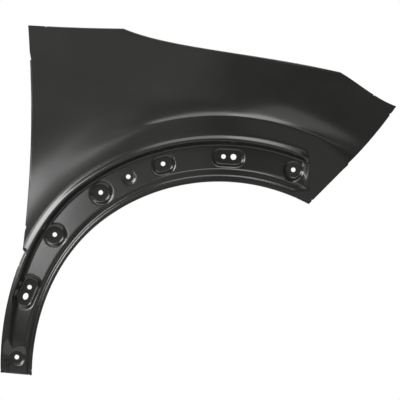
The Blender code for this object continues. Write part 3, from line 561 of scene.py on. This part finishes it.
    def seat_centre(self, seat):
        """Centre of a seat in the side view, on the middle of the channel floor."""
        radii = self.band_radii(seat.angle)
        middle = (radii[FLOOR_LINE] + radii[WALL_LINE]) / 2
        return side_point(middle + self.s.leg_shift * seat.shift_share, seat.angle)

    def seat_distance(self, seat, offset):
        """Distance of a point outside the outline of a seat's floor, from its offset to the centre."""
        across_way = side_point(1.0, seat.angle)
        along = abs(offset.y * across_way.x - offset.x * across_way.y)
        across = abs(offset.dot(across_way))
        over_along = along - seat.length / 2 + seat.corner
        over_across = across - seat.width / 2 + seat.corner
        outside = math.hypot(max(over_along, 0.0), max(over_across, 0.0))
        return outside + min(max(over_along, over_across), 0.0) - seat.corner

    def seat_depth(self, seat, centre, point):
        """Depth of a seat's flat floor and of the wall that rises round it."""
        s = self.s
        floor = self.body_depth(centre) + self.flare_fall(*polar(centre)) + seat.depth
        floor += self.sweep_slope(centre.x) * (point.x - centre.x)
        rise = soft_positive(self.seat_distance(seat, point - centre), s.seat_blend)
        return floor - rise * seat.depth / seat.wall

    def skin_depth(self, point):
        """Depth of the finished skin at a point of the side view."""
        radius, angle = polar(point)
        depth = self.body_depth(point) + self.flare_fall(radius, angle) + self.channel_depth(radius, angle)
        for seat in self.seats:
            centre = self.seat_centre(seat)
            if (point - centre).length < seat.length / 2 + seat.width / 2 + seat.wall:
                deeper = self.seat_depth(seat, centre, point) - depth
                depth += soft_positive(deeper, self.s.seat_blend)
        return depth


class Layout:
    """Places of the mesh in the side view. A column's place counts the columns of the press form."""

    def __init__(self, form):
        self.form = form
        self.s = form.s
        self.angles = self.form_angles()
        self.last = len(self.angles) - 1
        self.notch = self.angles.index(self.s.notch_angle)
        self.hood_rear = self.nearest(self.s.hood_rear_angle)
        self.hood_front = self.nearest(self.s.hood_front_angle)
        self.places = self.fine_places()
        self.lines = divided(BAND_CELLS)
        self.levels = divided(SKIN_CELLS)
        self.top_edges, self.door_edge, self.bumper_edge = self.edges()

    def seat_span(self, seat):
        """First and last angle of the columns that hold a seat."""
        half = (seat.length / 2 + seat.wall) / self.form.seat_centre(seat).length
        return seat.angle - half, seat.angle + half

    def form_angles(self):
        """Angles of the columns of the press form, from the foot to the front."""
        s = self.s
        angles = [s.foot_angle]

        def extend(end):
            passed = angles[-1] > s.notch_angle > end
            for stop in ((s.notch_angle, end) if passed else (end,)):
                start = angles[-1]
                count = max(1, round((start - stop) * s.arch_radius / s.form_pitch))
                angles.extend(mix(start, stop, (step + 1) / count) for step in range(count - 1))
                angles.append(stop)

        for seat in self.form.seats:
            front, rear = self.seat_span(seat)
            extend(rear)
            angles.extend(mix(rear, front, (step + 1) / seat.columns) for step in range(seat.columns))
        extend(s.front_angle)
        return angles

    def nearest(self, angle):
        """Column of the press form whose angle is nearest to the given one."""
        return min(range(self.notch, self.last + 1), key=lambda column: abs(self.angles[column] - angle))

    def fine_places(self):
        """Places of the columns of the fine mesh."""
        cells = []
        for first, second in zip(self.angles, self.angles[1:]):
            middle = self.form.band_radii(first)[FLOOR_LINE]
            at_end = second < self.s.fine_front_angle or first > self.s.fine_foot_angle
            pitch = self.s.end_pitch if at_end else self.s.mesh_pitch
            cells.append(max(1, round((first - second) * middle / pitch)))
        return divided(cells)

    def edges(self):
        """Bezier curves of the three top edges, and the start and end handles of the side edges."""
        s = self.s
        rear, hood_rear = Vector((s.rear_top_x, s.rear_top_z)), Vector((s.hood_rear_x, s.hood_rear_z))
        hood_front, tip = Vector((s.hood_front_x, s.hood_front_z)), Vector((s.tip_x, s.tip_z))
        rear_top = (rear, rear + Vector((s.rear_out_x, s.rear_out_z)),
                    hood_rear + Vector((s.rear_in_x, s.rear_in_z)), hood_rear)
        hood = (hood_rear, hood_rear + Vector((s.hood_out_x, s.hood_out_z)),
                hood_front + Vector((s.hood_in_x, s.hood_in_z)), hood_front)
        lamp = (hood_front, hood_front + Vector((s.lamp_out_x, s.lamp_out_z)),
                tip + Vector((s.lamp_in_x, s.lamp_in_z)), tip)
        notch = self.channel_point(self.notch, RIM_LINE)
        corner = self.channel_point(self.last, RIM_LINE)
        door = (notch, notch + Vector((s.door_lower_x, s.door_lower_z)),
                rear + Vector((s.door_upper_x, s.door_upper_z)), rear)
        bumper = (corner, corner + Vector((s.bumper_out_x, s.bumper_out_z)),
                  tip + Vector((s.bumper_in_x, s.bumper_in_z)), tip)
        return (rear_top, hood, lamp), door, bumper

    def column_turn(self, angle, across):
        """Turn of a column at a share of the way from arch edge to rim, for the raked ends."""
        s = self.s
        front = self.seat_span(self.form.seats[-1])[0]
        rear = self.seat_span(self.form.seats[0])[1]
        if angle < front:
            return -s.front_rake * across * (front - angle) / (front - s.front_angle)
        if angle > rear:
            return s.foot_rake * (1 - 2 * across) * (angle - rear) / (s.foot_angle - rear)
        return 0.0

    def channel_point(self, place, line):
        """Side-view point of the channel, drawn in by the fold where the sheet turns in."""
        angle = between(self.angles, place)
        radii = self.form.band_radii(angle)
        across = (between(radii, line) - radii[0]) / (radii[-1] - radii[0])
        rim_angle = angle + self.column_turn(angle, 1)
        arch_angle = angle + self.column_turn(angle, 0)
        foot = side_point(self.form.arch_radius(arch_angle), arch_angle)
        head = side_point(self.form.band_radii(rim_angle)[-1], rim_angle)
        travel = (head - foot).normalized()
        at_arch = max(1 - line, 0) * folded(place, self.last - place)
        at_leg = max(line - CREST_LINE, 0) * folded(place, self.notch - place)
        at_foot = max(1 - place, 0) * folded(line, RIM_LINE - line)
        at_front = max(place - self.last + 1, 0) * folded(line)
        sideways = Vector((travel.y, -travel.x)) * (at_foot - at_front)
        return mix(foot, head, across) + (travel * (at_arch - at_leg) + sideways) * self.s.fold_radius

    def head_point(self, place):
        """Side-view point where a column meets the top edge."""
        stops = (self.notch, self.hood_rear, self.hood_front, self.last)
        zone = max(i for i in range(len(stops) - 1) if place >= stops[i])
        first, last = self.angles[stops[zone]], self.angles[stops[zone + 1]]
        share = (first - between(self.angles, place)) / (first - last)
        inset = folded(place - self.notch, self.last - place) * self.s.fold_radius
        return beside_edge(self.top_edges[zone], share, inset)

    def skin_column(self, place):
        """Side-view points of a column of the skin, one for each level above the rim."""
        foot, head = self.channel_point(place, RIM_LINE), self.head_point(place)
        across = (place - self.notch) / (self.last - self.notch)

        def point(share, inset_share):
            inset = self.s.fold_radius * inset_share
            found = mix(foot, head, share)
            for edge, side, weight in ((self.door_edge, inset, 1 - across),
                                       (self.bumper_edge, -inset, across)):
                chord = mix(edge[0], edge[-1], share)
                found += (beside_edge(edge, share, side) - chord) * weight ** 2
            return found

        inner, outer = 0.0, 1.0
        for _ in range(BISECTIONS):
            middle = (inner + outer) / 2
            if point(middle, 1).length < self.s.flare_radius:
                inner = middle
            else:
                outer = middle
        shares = [0.0] + [inner * share for share in FLARE_ROW_SHARES]
        shares += [mix(inner, 1.0, share) for share in SKIN_ROW_SHARES]
        return [point(between(shares, level), folded(level, TOP_LEVEL - level)) for level in self.levels]


def folded(*from_ends):
    """1 where an edge is folded, and 0 in the last cell of the press form before a corner."""
    return 1 if min(from_ends) >= 1 else 0


def divided(cells):
    """Even places from zero up, with so many in each whole step."""
    places = [i + step / count for i, count in enumerate(cells) for step in range(count)]
    return places + [float(len(cells))]


class PanelMesh:
    """The sheet as one grid that is pressed to its form, cut to the leg and folded at its edges."""

    def __init__(self, layout):
        self.layout = layout
        self.s = layout.s
        self.mesh = bmesh.new()
        self.columns = len(layout.places) - 1
        self.rim = len(layout.lines) - 1
        self.rows = self.rim + len(layout.levels) - 1
        self.notch = layout.places.index(layout.notch)
        self.grid = {}
        self.cutters = []

    def build(self):
        """Press the grid, fold its edges and pierce nothing yet: the cutters wait in a list."""
        self.lay_grid()
        self.press_grid()
        self.fold_edges()
        self.place_seat_holes()
        bmesh.ops.recalc_face_normals(self.mesh, faces=self.mesh.faces)
        facing = self.grid[1, 1].link_faces[0]
        facing.normal_update()
        if facing.normal.y > 0:
            bmesh.ops.reverse_faces(self.mesh, faces=self.mesh.faces)

    def lay_grid(self):
        """Lay a flat grid and delete what lies behind the door edge."""
        bmesh.ops.create_grid(self.mesh, x_segments=self.columns, y_segments=self.rows, size=1.0)
        for vertex in self.mesh.verts:
            column = round((vertex.co.x + 1) / 2 * self.columns)
            row = round((vertex.co.y + 1) / 2 * self.rows)
            self.grid[column, row] = vertex
        place = {vertex: key for key, vertex in self.grid.items()}
        behind = []
        for face in self.mesh.faces:
            keys = [place[vertex] for vertex in face.verts]
            if min(key[1] for key in keys) >= self.rim and min(key[0] for key in keys) < self.notch:
                behind.append(face)
        bmesh.ops.delete(self.mesh, geom=behind, context="FACES")
        self.grid = {key: vertex for key, vertex in self.grid.items() if vertex.is_valid}

    def press_grid(self):
        """Move every vertex to its place in the side view and press it to the form."""
        layout = self.layout
        for column, place in enumerate(layout.places):
            points = [layout.channel_point(place, line) for line in layout.lines]
            if column >= self.notch:
                points += layout.skin_column(place)[1:]
            for row, point in enumerate(points):
                self.grid[column, row].co = (point.x, layout.form.skin_depth(point), point.y)

    def carry(self, chain, targets):
        """Extrude a run of edges and move the new vertices to their targets."""
        edges = [self.mesh.edges.get(pair) for pair in zip(chain, chain[1:])]
        made = bmesh.ops.extrude_edge_only(self.mesh, edges=edges)
        fresh = {item for item in made["geom"] if isinstance(item, bmesh.types.BMVert)}
        row = []
        for vertex, target in zip(chain, targets):
            others = [edge.other_vert(vertex) for edge in vertex.link_edges]
            after = next(other for other in others if other in fresh)
            after.co = target
            row.append(after)
        return row

    def fold(self, chain, side, turns, lengths):
        """Fold a free edge inward, by a turn and with a straight length at each vertex."""
        starts = [vertex.co.copy() for vertex in chain]
        outwards = []
        for i in range(len(chain)):
            travel = starts[min(i + 1, len(chain) - 1)] - starts[max(i - 1, 0)]
            outwards.append(Vector((travel.z, 0.0, -travel.x)).normalized() * side)
        row = chain
        for step in range(FOLD_STEPS):
            targets = []
            for start, outward, bend in zip(starts, outwards, turns):
                part = bend * (step + 1) / FOLD_STEPS
                offset = outward * math.sin(part) + INWARD * (1 - math.cos(part))
                targets.append(start + offset * self.s.fold_radius)
            row = self.carry(row, targets)
        targets = []
        for vertex, outward, bend, reach in zip(row, outwards, turns, lengths):
            targets.append(vertex.co + (outward * math.cos(bend) + INWARD * math.sin(bend)) * reach)
        return self.carry(row, targets)

    def square_fold(self, chain, side, reach):
        """Fold a free edge square to the side view."""
        return self.fold(chain, side, [SQUARE] * len(chain), [reach] * len(chain))

    def columns_between(self, first, last):
        """Columns of the fine mesh between two columns of the press form."""
        return [i for i, place in enumerate(self.layout.places) if first <= place <= last]

    def fold_edges(self):
        """Fold all free edges and carry on their tabs and the hood ledge."""
        layout, s, grid = self.layout, self.s, self.grid
        arch = [grid[column, 0] for column in self.columns_between(1, layout.last - 1)]
        self.square_fold(arch, 1, s.arch_flange)
        leg = [grid[column, self.rim] for column in self.columns_between(1, layout.notch - 1)]
        self.square_fold(leg, -1, s.leg_flange)
        foot_rows = [i for i, line in enumerate(layout.lines) if 1 <= line <= CREST_LINE]
        foot = self.square_fold([grid[0, row] for row in foot_rows], -1, s.foot_flange)
        self.add_tab(foot, s.foot_tab)
        upper = [self.rim + i for i, level in enumerate(layout.levels) if 0 < level <= TOP_LEVEL - 1]
        door_levels = [i for i in upper if layout.levels[i - self.rim] >= 1]
        door = self.square_fold([grid[self.notch, row] for row in door_levels], -1, s.door_flange)
        self.add_tab(self.door_tab_root(door, door_levels), s.door_tab)
        front_rows = [i for i, line in enumerate(layout.lines) if line >= 1] + upper
        self.square_fold([grid[self.columns, row] for row in front_rows], 1, s.bumper_flange)
        self.fold_top()

    def door_tab_root(self, door, door_levels):
        """Vertices of the door flange in the one cell of the press form that carries the tab."""
        stops = {}
        for vertex, row in zip(door, door_levels):
            level = self.layout.levels[row - self.rim]
            if level == int(level):
                stops[int(level)] = vertex
        cell = min(list(stops)[:-1],
                   key=lambda i: abs(stops[i].co.z + stops[i + 1].co.z - 2 * self.s.door_tab_z))
        return door[door.index(stops[cell]):door.index(stops[cell + 1]) + 1]

    def add_tab(self, root, reach):
        """Carry the end of a flange on as a flat tab with a screw hole."""
        first, last = root[0].co.copy(), root[-1].co.copy()
        targets = []
        for vertex in root:
            share = (vertex.co - first).dot(last - first) / (last - first).length_squared
            vertex.co.x = mix(first.x, last.x, share)
            vertex.co.z = mix(first.z, last.z, share)
            drawn_in = self.s.tab_taper + share * (1 - 2 * self.s.tab_taper)
            targets.append(mix(first, last, drawn_in) + INWARD * reach)
        self.carry(root, targets)
        along = (last - first).normalized()
        self.add_cutter((first + last + INWARD * reach) / 2, along, INWARD,
                        self.s.screw_hole, self.s.screw_hole)

    def fold_top(self):
        """Fold the rear top edge, the hood gutter wall and the lamp edge in one run."""
        layout, s = self.layout, self.s
        columns = self.columns_between(layout.notch + 1, layout.last - 1)
        turns, lengths = [], []
        for column in columns:
            place = layout.places[column]
            behind = min(max(layout.hood_rear - place, 0), 1)
            ahead = min(max(place - layout.hood_front, 0), 1)
            turns.append(mix(s.hood_turn, SQUARE, behind + ahead))
            lengths.append(s.hood_wall + (s.rear_top_flange - s.hood_wall) * behind
                           + (s.lamp_flange - s.hood_wall) * ahead)
        chain = [self.grid[column, self.rows] for column in columns]
        wall = self.fold(chain, -1, turns, lengths)
        hood = [i for i, column in enumerate(columns)
                if layout.hood_rear <= layout.places[column] <= layout.hood_front]
        self.add_ledge([wall[i] for i in hood], [layout.places[columns[i]] - layout.hood_rear for i in hood])

    def add_ledge(self, wall, places):
        """Ledge at the foot of the hood gutter wall, with its level mounting pads."""
        s = self.s
        cells = self.layout.hood_front - self.layout.hood_rear
        whole = {place: vertex.co.z for place, vertex in zip(places, wall) if place == int(place)}
        widths = [s.hood_ledge] * len(wall)
        for share in PAD_PLACE_SHARES:
            first = round(share * (cells - PAD_CELLS))
            last = first + PAD_CELLS
            level = sum(whole[i] for i in range(first, last + 1)) / (PAD_CELLS + 1)
            for i, place in enumerate(places):
                away = max(first - place, place - last, 0)
                if away < 1:
                    edge = min(max(place, first), last)
                    shift = level - (wall[i].co.z if away == 0 else whole[edge])
                    wall[i].co.z += shift * (1 - away)
                    widths[i] = mix(s.pad_width, s.hood_ledge, away)
            middle = first + PAD_CELLS // 2
            near = [vertex.co for vertex, place in zip(wall, places) if place in (middle, middle + 1)]
            centre = (near[0] + near[1]) / 2 + INWARD * s.pad_width / 2
            self.add_cutter(centre, Vector((1, 0, 0)), INWARD, s.screw_hole, s.screw_hole)
        self.carry(wall, [vertex.co + INWARD * width for vertex, width in zip(wall, widths)])

    def place_seat_holes(self):
        """Cutters for the holes in the seats."""
        form = self.layout.form
        for seat in form.seats:
            across = side_point(1.0, seat.angle)
            along = Vector((-across.y, across.x))
            for hole in seat.holes:
                point = form.seat_centre(seat) + along * hole.offset
                centre = Vector((point.x, form.skin_depth(point), point.y))
                self.add_cutter(centre, Vector((along.x, 0, along.y)), Vector((across.x, 0, across.y)),
                                hole.length, hole.width)

    def add_cutter(self, centre, along, across, hole_length, hole_width):
        """Remember a round or oval hole by the frame of its cutter."""
        height = CUTTER_SHEETS * self.s.sheet_thickness
        columns = (along * hole_length, across * hole_width, along.cross(across).normalized() * height)
        matrix = Matrix([(*column, 0.0) for column in columns] + [(*centre, 1.0)]).transposed()
        self.cutters.append(matrix)

    def cutter_mesh(self):
        """All the cutters as one bmesh."""
        tools = bmesh.new()
        for matrix in self.cutters:
            bmesh.ops.create_cone(tools, cap_ends=True, segments=CUTTER_SEGMENTS, radius1=0.5, radius2=0.5,
                                  depth=1.0, matrix=matrix)
        bmesh.ops.recalc_face_normals(tools, faces=tools.faces)
        return tools


def highest_corner(mesh):
    """Highest corner of the box round a mesh."""
    return Vector([max(vertex.co[i] for vertex in mesh.vertices) for i in range(3)])


def mesh_object(name, shape):
    """Object from a bmesh, which is freed."""
    mesh = bpy.data.meshes.new(name)
    shape.to_mesh(mesh)
    shape.free()
    made = bpy.data.objects.new(name, mesh)
    bpy.context.scene.collection.objects.link(made)
    return made


def bake_modifiers(made):
    """Replace an object's mesh by what its modifiers make of it."""
    bpy.context.view_layer.update()
    graph = bpy.context.evaluated_depsgraph_get()
    mesh = bpy.data.meshes.new_from_object(made.evaluated_get(graph))
    made.modifiers.clear()
    old = made.data
    made.data = mesh
    mesh.name = made.name
    bpy.data.meshes.remove(old)


class Socket:
    """Output of a shader node, with Python's operators as Math nodes."""

    def __init__(self, nodes, socket):
        self.nodes = nodes
        self.socket = socket

    def maths(self, operation, *values):
        """Math node on this output and other values."""
        made = self.nodes.add("ShaderNodeMath", {"operation": operation}, dict(enumerate(values)))
        return made["Value"]

    def __add__(self, other):
        return self.maths("ADD", self, other)

    def __radd__(self, other):
        return self.maths("ADD", other, self)

    def __sub__(self, other):
        return self.maths("SUBTRACT", self, other)

    def __mul__(self, other):
        return self.maths("MULTIPLY", self, other)


class NodeMaker:
    """Makes the nodes of one tree."""

    def __init__(self, tree):
        self.tree = tree
        tree.nodes.clear()

    def add(self, kind, settings, values):
        """Make a node, set it, and give its sockets values or links. Returns its outputs by name."""
        node = self.tree.nodes.new(kind)
        for name, value in settings.items():
            setattr(node, name, value)
        for key, value in values.items():
            socket = node.inputs[key]
            if isinstance(value, Socket):
                self.tree.links.new(value.socket, socket)
            else:
                socket.default_value = value
        return {output.name: Socket(self, output) for output in node.outputs if output.enabled}


def primer_material(look):
    """Black dip primer: near-black film, soft gloss that wanders a little, and a fine grain."""
    material = bpy.data.materials.new("black_primer")
    material.use_nodes = True
    nodes = NodeMaker(material.node_tree)
    place = nodes.add("ShaderNodeTexCoord", {}, {})["Object"]
    patches = nodes.add("ShaderNodeTexNoise", {},
                        {"Vector": place, "Scale": look.film_scale, **PATCH_NOISE})["Fac"]
    grain = nodes.add("ShaderNodeTexNoise", {},
                      {"Vector": place, "Scale": look.grain_scale, **GRAIN_NOISE})["Fac"]
    thin = nodes.add("ShaderNodeMapRange", {"interpolation_type": "SMOOTHSTEP"},
                     {"Value": patches, "From Min": THIN_FILM[0], "From Max": THIN_FILM[1]})["Result"]
    colour = nodes.add("ShaderNodeMix", {"data_type": "RGBA"},
                       {0: thin, 6: (*look.colour, 1.0), 7: (*look.faded_colour, 1.0)})["Result"]
    roughness = look.roughness + (patches - 0.5) * look.roughness_range + (grain - 0.5) * look.roughness_range
    bump = nodes.add("ShaderNodeBump", {},
                     {"Height": grain, "Distance": look.grain_height, "Strength": 1.0})["Normal"]
    surface = nodes.add("ShaderNodeBsdfPrincipled", {},
                        {"Base Color": colour, "Roughness": roughness, "Normal": bump,
                         "Specular IOR Level": look.specular})["BSDF"]
    nodes.add("ShaderNodeOutputMaterial", {}, {"Surface": surface})
    return material


class FENDER_OT_build_panel(bpy.types.Operator):
    """Build the pressed fender panel in fine mesh and dip it in primer"""

    bl_idname = "fender.build_panel"
    bl_label = "Build panel"
    bl_options = {"REGISTER", "UNDO"}

    def execute(self, context):
        sizes = shape_sizes(context.scene)
        sheet = PanelMesh(Layout(PressForm(sizes)))
        sheet.build()
        cutter = mesh_object("hole_cutter", sheet.cutter_mesh())
        panel = mesh_object("pressed_panel", sheet.mesh)
        solidify = panel.modifiers.new("sheet_thickness", "SOLIDIFY")
        solidify.thickness = sizes.sheet_thickness
        solidify.offset = -1
        pierce = panel.modifiers.new("holes", "BOOLEAN")
        pierce.operation = "DIFFERENCE"
        pierce.solver = "EXACT"
        pierce.object = cutter
        bake_modifiers(panel)
        bpy.data.objects.remove(cutter)
        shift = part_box(CAD_NODE)[1] - highest_corner(panel.data)
        panel.data.transform(Matrix.Translation(shift))
        panel.data.materials.clear()
        panel.data.materials.append(primer_material(context.scene.fender_primer))
        panel.data.shade_smooth()
        panel.data.set_sharp_from_angle(angle=SHARP_ANGLE)
        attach(panel, "root")
        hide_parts(CAD_NODE)
        return {"FINISHED"}


def white_to_camera(nodes, gloss_white):
    """1 for rays from the camera or through a glass, and a share of it for what a gloss shows."""
    path = nodes.add("ShaderNodeLightPath", {}, {})
    return path["Is Camera Ray"] + path["Is Transmission Ray"] + path["Is Glossy Ray"] * gloss_white


def add_floor(look, foot_z):
    """Pale floor that keeps the shadow of the panel."""
    shape = bmesh.new()
    bmesh.ops.create_grid(shape, x_segments=1, y_segments=1, size=look.floor_size / 2,
                          matrix=Matrix.Translation((0.0, 0.0, foot_z - look.floor_gap)))
    floor = mesh_object("floor", shape)
    material = bpy.data.materials.new("studio_floor")
    material.use_nodes = True
    nodes = NodeMaker(material.node_tree)
    plain = nodes.add("ShaderNodeBsdfDiffuse", {}, {"Color": (*[look.floor_colour] * 3, 1.0)})["BSDF"]
    strength = white_to_camera(nodes, look.gloss_white) * look.floor_glow
    glow = nodes.add("ShaderNodeEmission", {}, {"Strength": strength})["Emission"]
    surface = nodes.add("ShaderNodeAddShader", {}, {0: plain, 1: glow})["Shader"]
    nodes.add("ShaderNodeOutputMaterial", {}, {"Surface": surface})
    floor.data.materials.append(material)


def add_lamp(look, name):
    """Rectangular soft lamp that the camera doesn't see, placed and sized by angles from the panel."""
    azimuth, elevation, width, height, brightness = (
        getattr(look, name + "_" + key) for key in (*LAMP_TURNS, "brightness"))
    away = Vector((math.sin(azimuth) * math.cos(elevation), -math.cos(azimuth) * math.cos(elevation),
                   math.sin(elevation)))
    lamp = bpy.data.lights.new(name + "_softbox", "AREA")
    lamp.shape = "RECTANGLE"
    lamp.size = 2 * look.lamp_distance * math.tan(width / 2)
    lamp.size_y = 2 * look.lamp_distance * math.tan(height / 2)
    lamp.energy = brightness * math.pi * lamp.size * lamp.size_y
    made = bpy.data.objects.new(lamp.name, lamp)
    made.location = Vector((0.0, 0.0, look.view_z)) + away * look.lamp_distance
    made.rotation_euler = away.to_track_quat("Z", "Y").to_euler()
    made.visible_camera = False
    bpy.context.scene.collection.objects.link(made)


def set_world(look):
    """White background and a low even light."""
    world = bpy.data.worlds.new("studio")
    bpy.context.scene.world = world
    world.use_nodes = True
    nodes = NodeMaker(world.node_tree)
    share = white_to_camera(nodes, look.gloss_white)
    strength = look.world_light + share * (1 - look.world_light)
    light = nodes.add("ShaderNodeBackground", {}, {"Color": (1.0, 1.0, 1.0, 1.0), "Strength": strength})
    nodes.add("ShaderNodeOutputWorld", {}, {"Surface": light["Background"]})


def add_camera(look):
    """Long lens square on to the panel, as in the photograph."""
    lens = bpy.data.cameras.new("camera")
    lens.lens = lens.sensor_width * look.camera_distance / look.view_width
    lens.clip_end = 4 * look.camera_distance
    camera = bpy.data.objects.new("camera", lens)
    camera.location = (look.view_x, -look.camera_distance, look.view_z)
    camera.rotation_euler = (SQUARE, 0.0, 0.0)
    bpy.context.scene.collection.objects.link(camera)
    bpy.context.scene.camera = camera


class FENDER_OT_build_stage(bpy.types.Operator):
    """Set up the camera, the lamps, the floor and the background"""

    bl_idname = "fender.build_stage"
    bl_label = "Build stage"
    bl_options = {"REGISTER", "UNDO"}

    def execute(self, context):
        look = context.scene.fender_studio
        add_camera(look)
        add_floor(look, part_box(CAD_NODE)[0].z)
        for name in LAMPS:
            add_lamp(look, name)
        set_world(look)
        context.scene.view_settings.view_transform = "Standard"
        return {"FINISHED"}


class FENDER_PT_sidebar(bpy.types.Panel):
    """Sizes, looks and buttons of the fender"""

    bl_idname = "FENDER_PT_sidebar"
    bl_label = "Car Fender"
    bl_space_type = "VIEW_3D"
    bl_region_type = "UI"
    bl_category = "Fender"

    def draw(self, context):
        layout = self.layout
        for name, group in {**SHAPE_GROUPS, **LOOK_GROUPS}.items():
            box = layout.box()
            box.label(text=group.__name__)
            for key in group.__annotations__:
                box.prop(getattr(context.scene, name), key)
        layout.operator(FENDER_OT_build_panel.bl_idname)
        layout.operator(FENDER_OT_build_stage.bl_idname)


CLASSES = (*SHAPE_GROUPS.values(), *LOOK_GROUPS.values(),
           FENDER_OT_build_panel, FENDER_OT_build_stage, FENDER_PT_sidebar)


def register():
    """Register the classes and hang the sizes and looks on the scene."""
    for item in CLASSES:
        bpy.utils.register_class(item)
    for name, group in {**SHAPE_GROUPS, **LOOK_GROUPS}.items():
        setattr(bpy.types.Scene, name, PointerProperty(type=group))


def unregister():
    """Take the properties and the classes away again."""
    for name in {**SHAPE_GROUPS, **LOOK_GROUPS}:
        delattr(bpy.types.Scene, name)
    for item in reversed(CLASSES):
        bpy.utils.unregister_class(item)


def main():
    """Build the stage and the panel."""
    register()
    bpy.ops.fender.build_stage()
    bpy.ops.fender.build_panel()


if __name__ == "__main__":
    main()
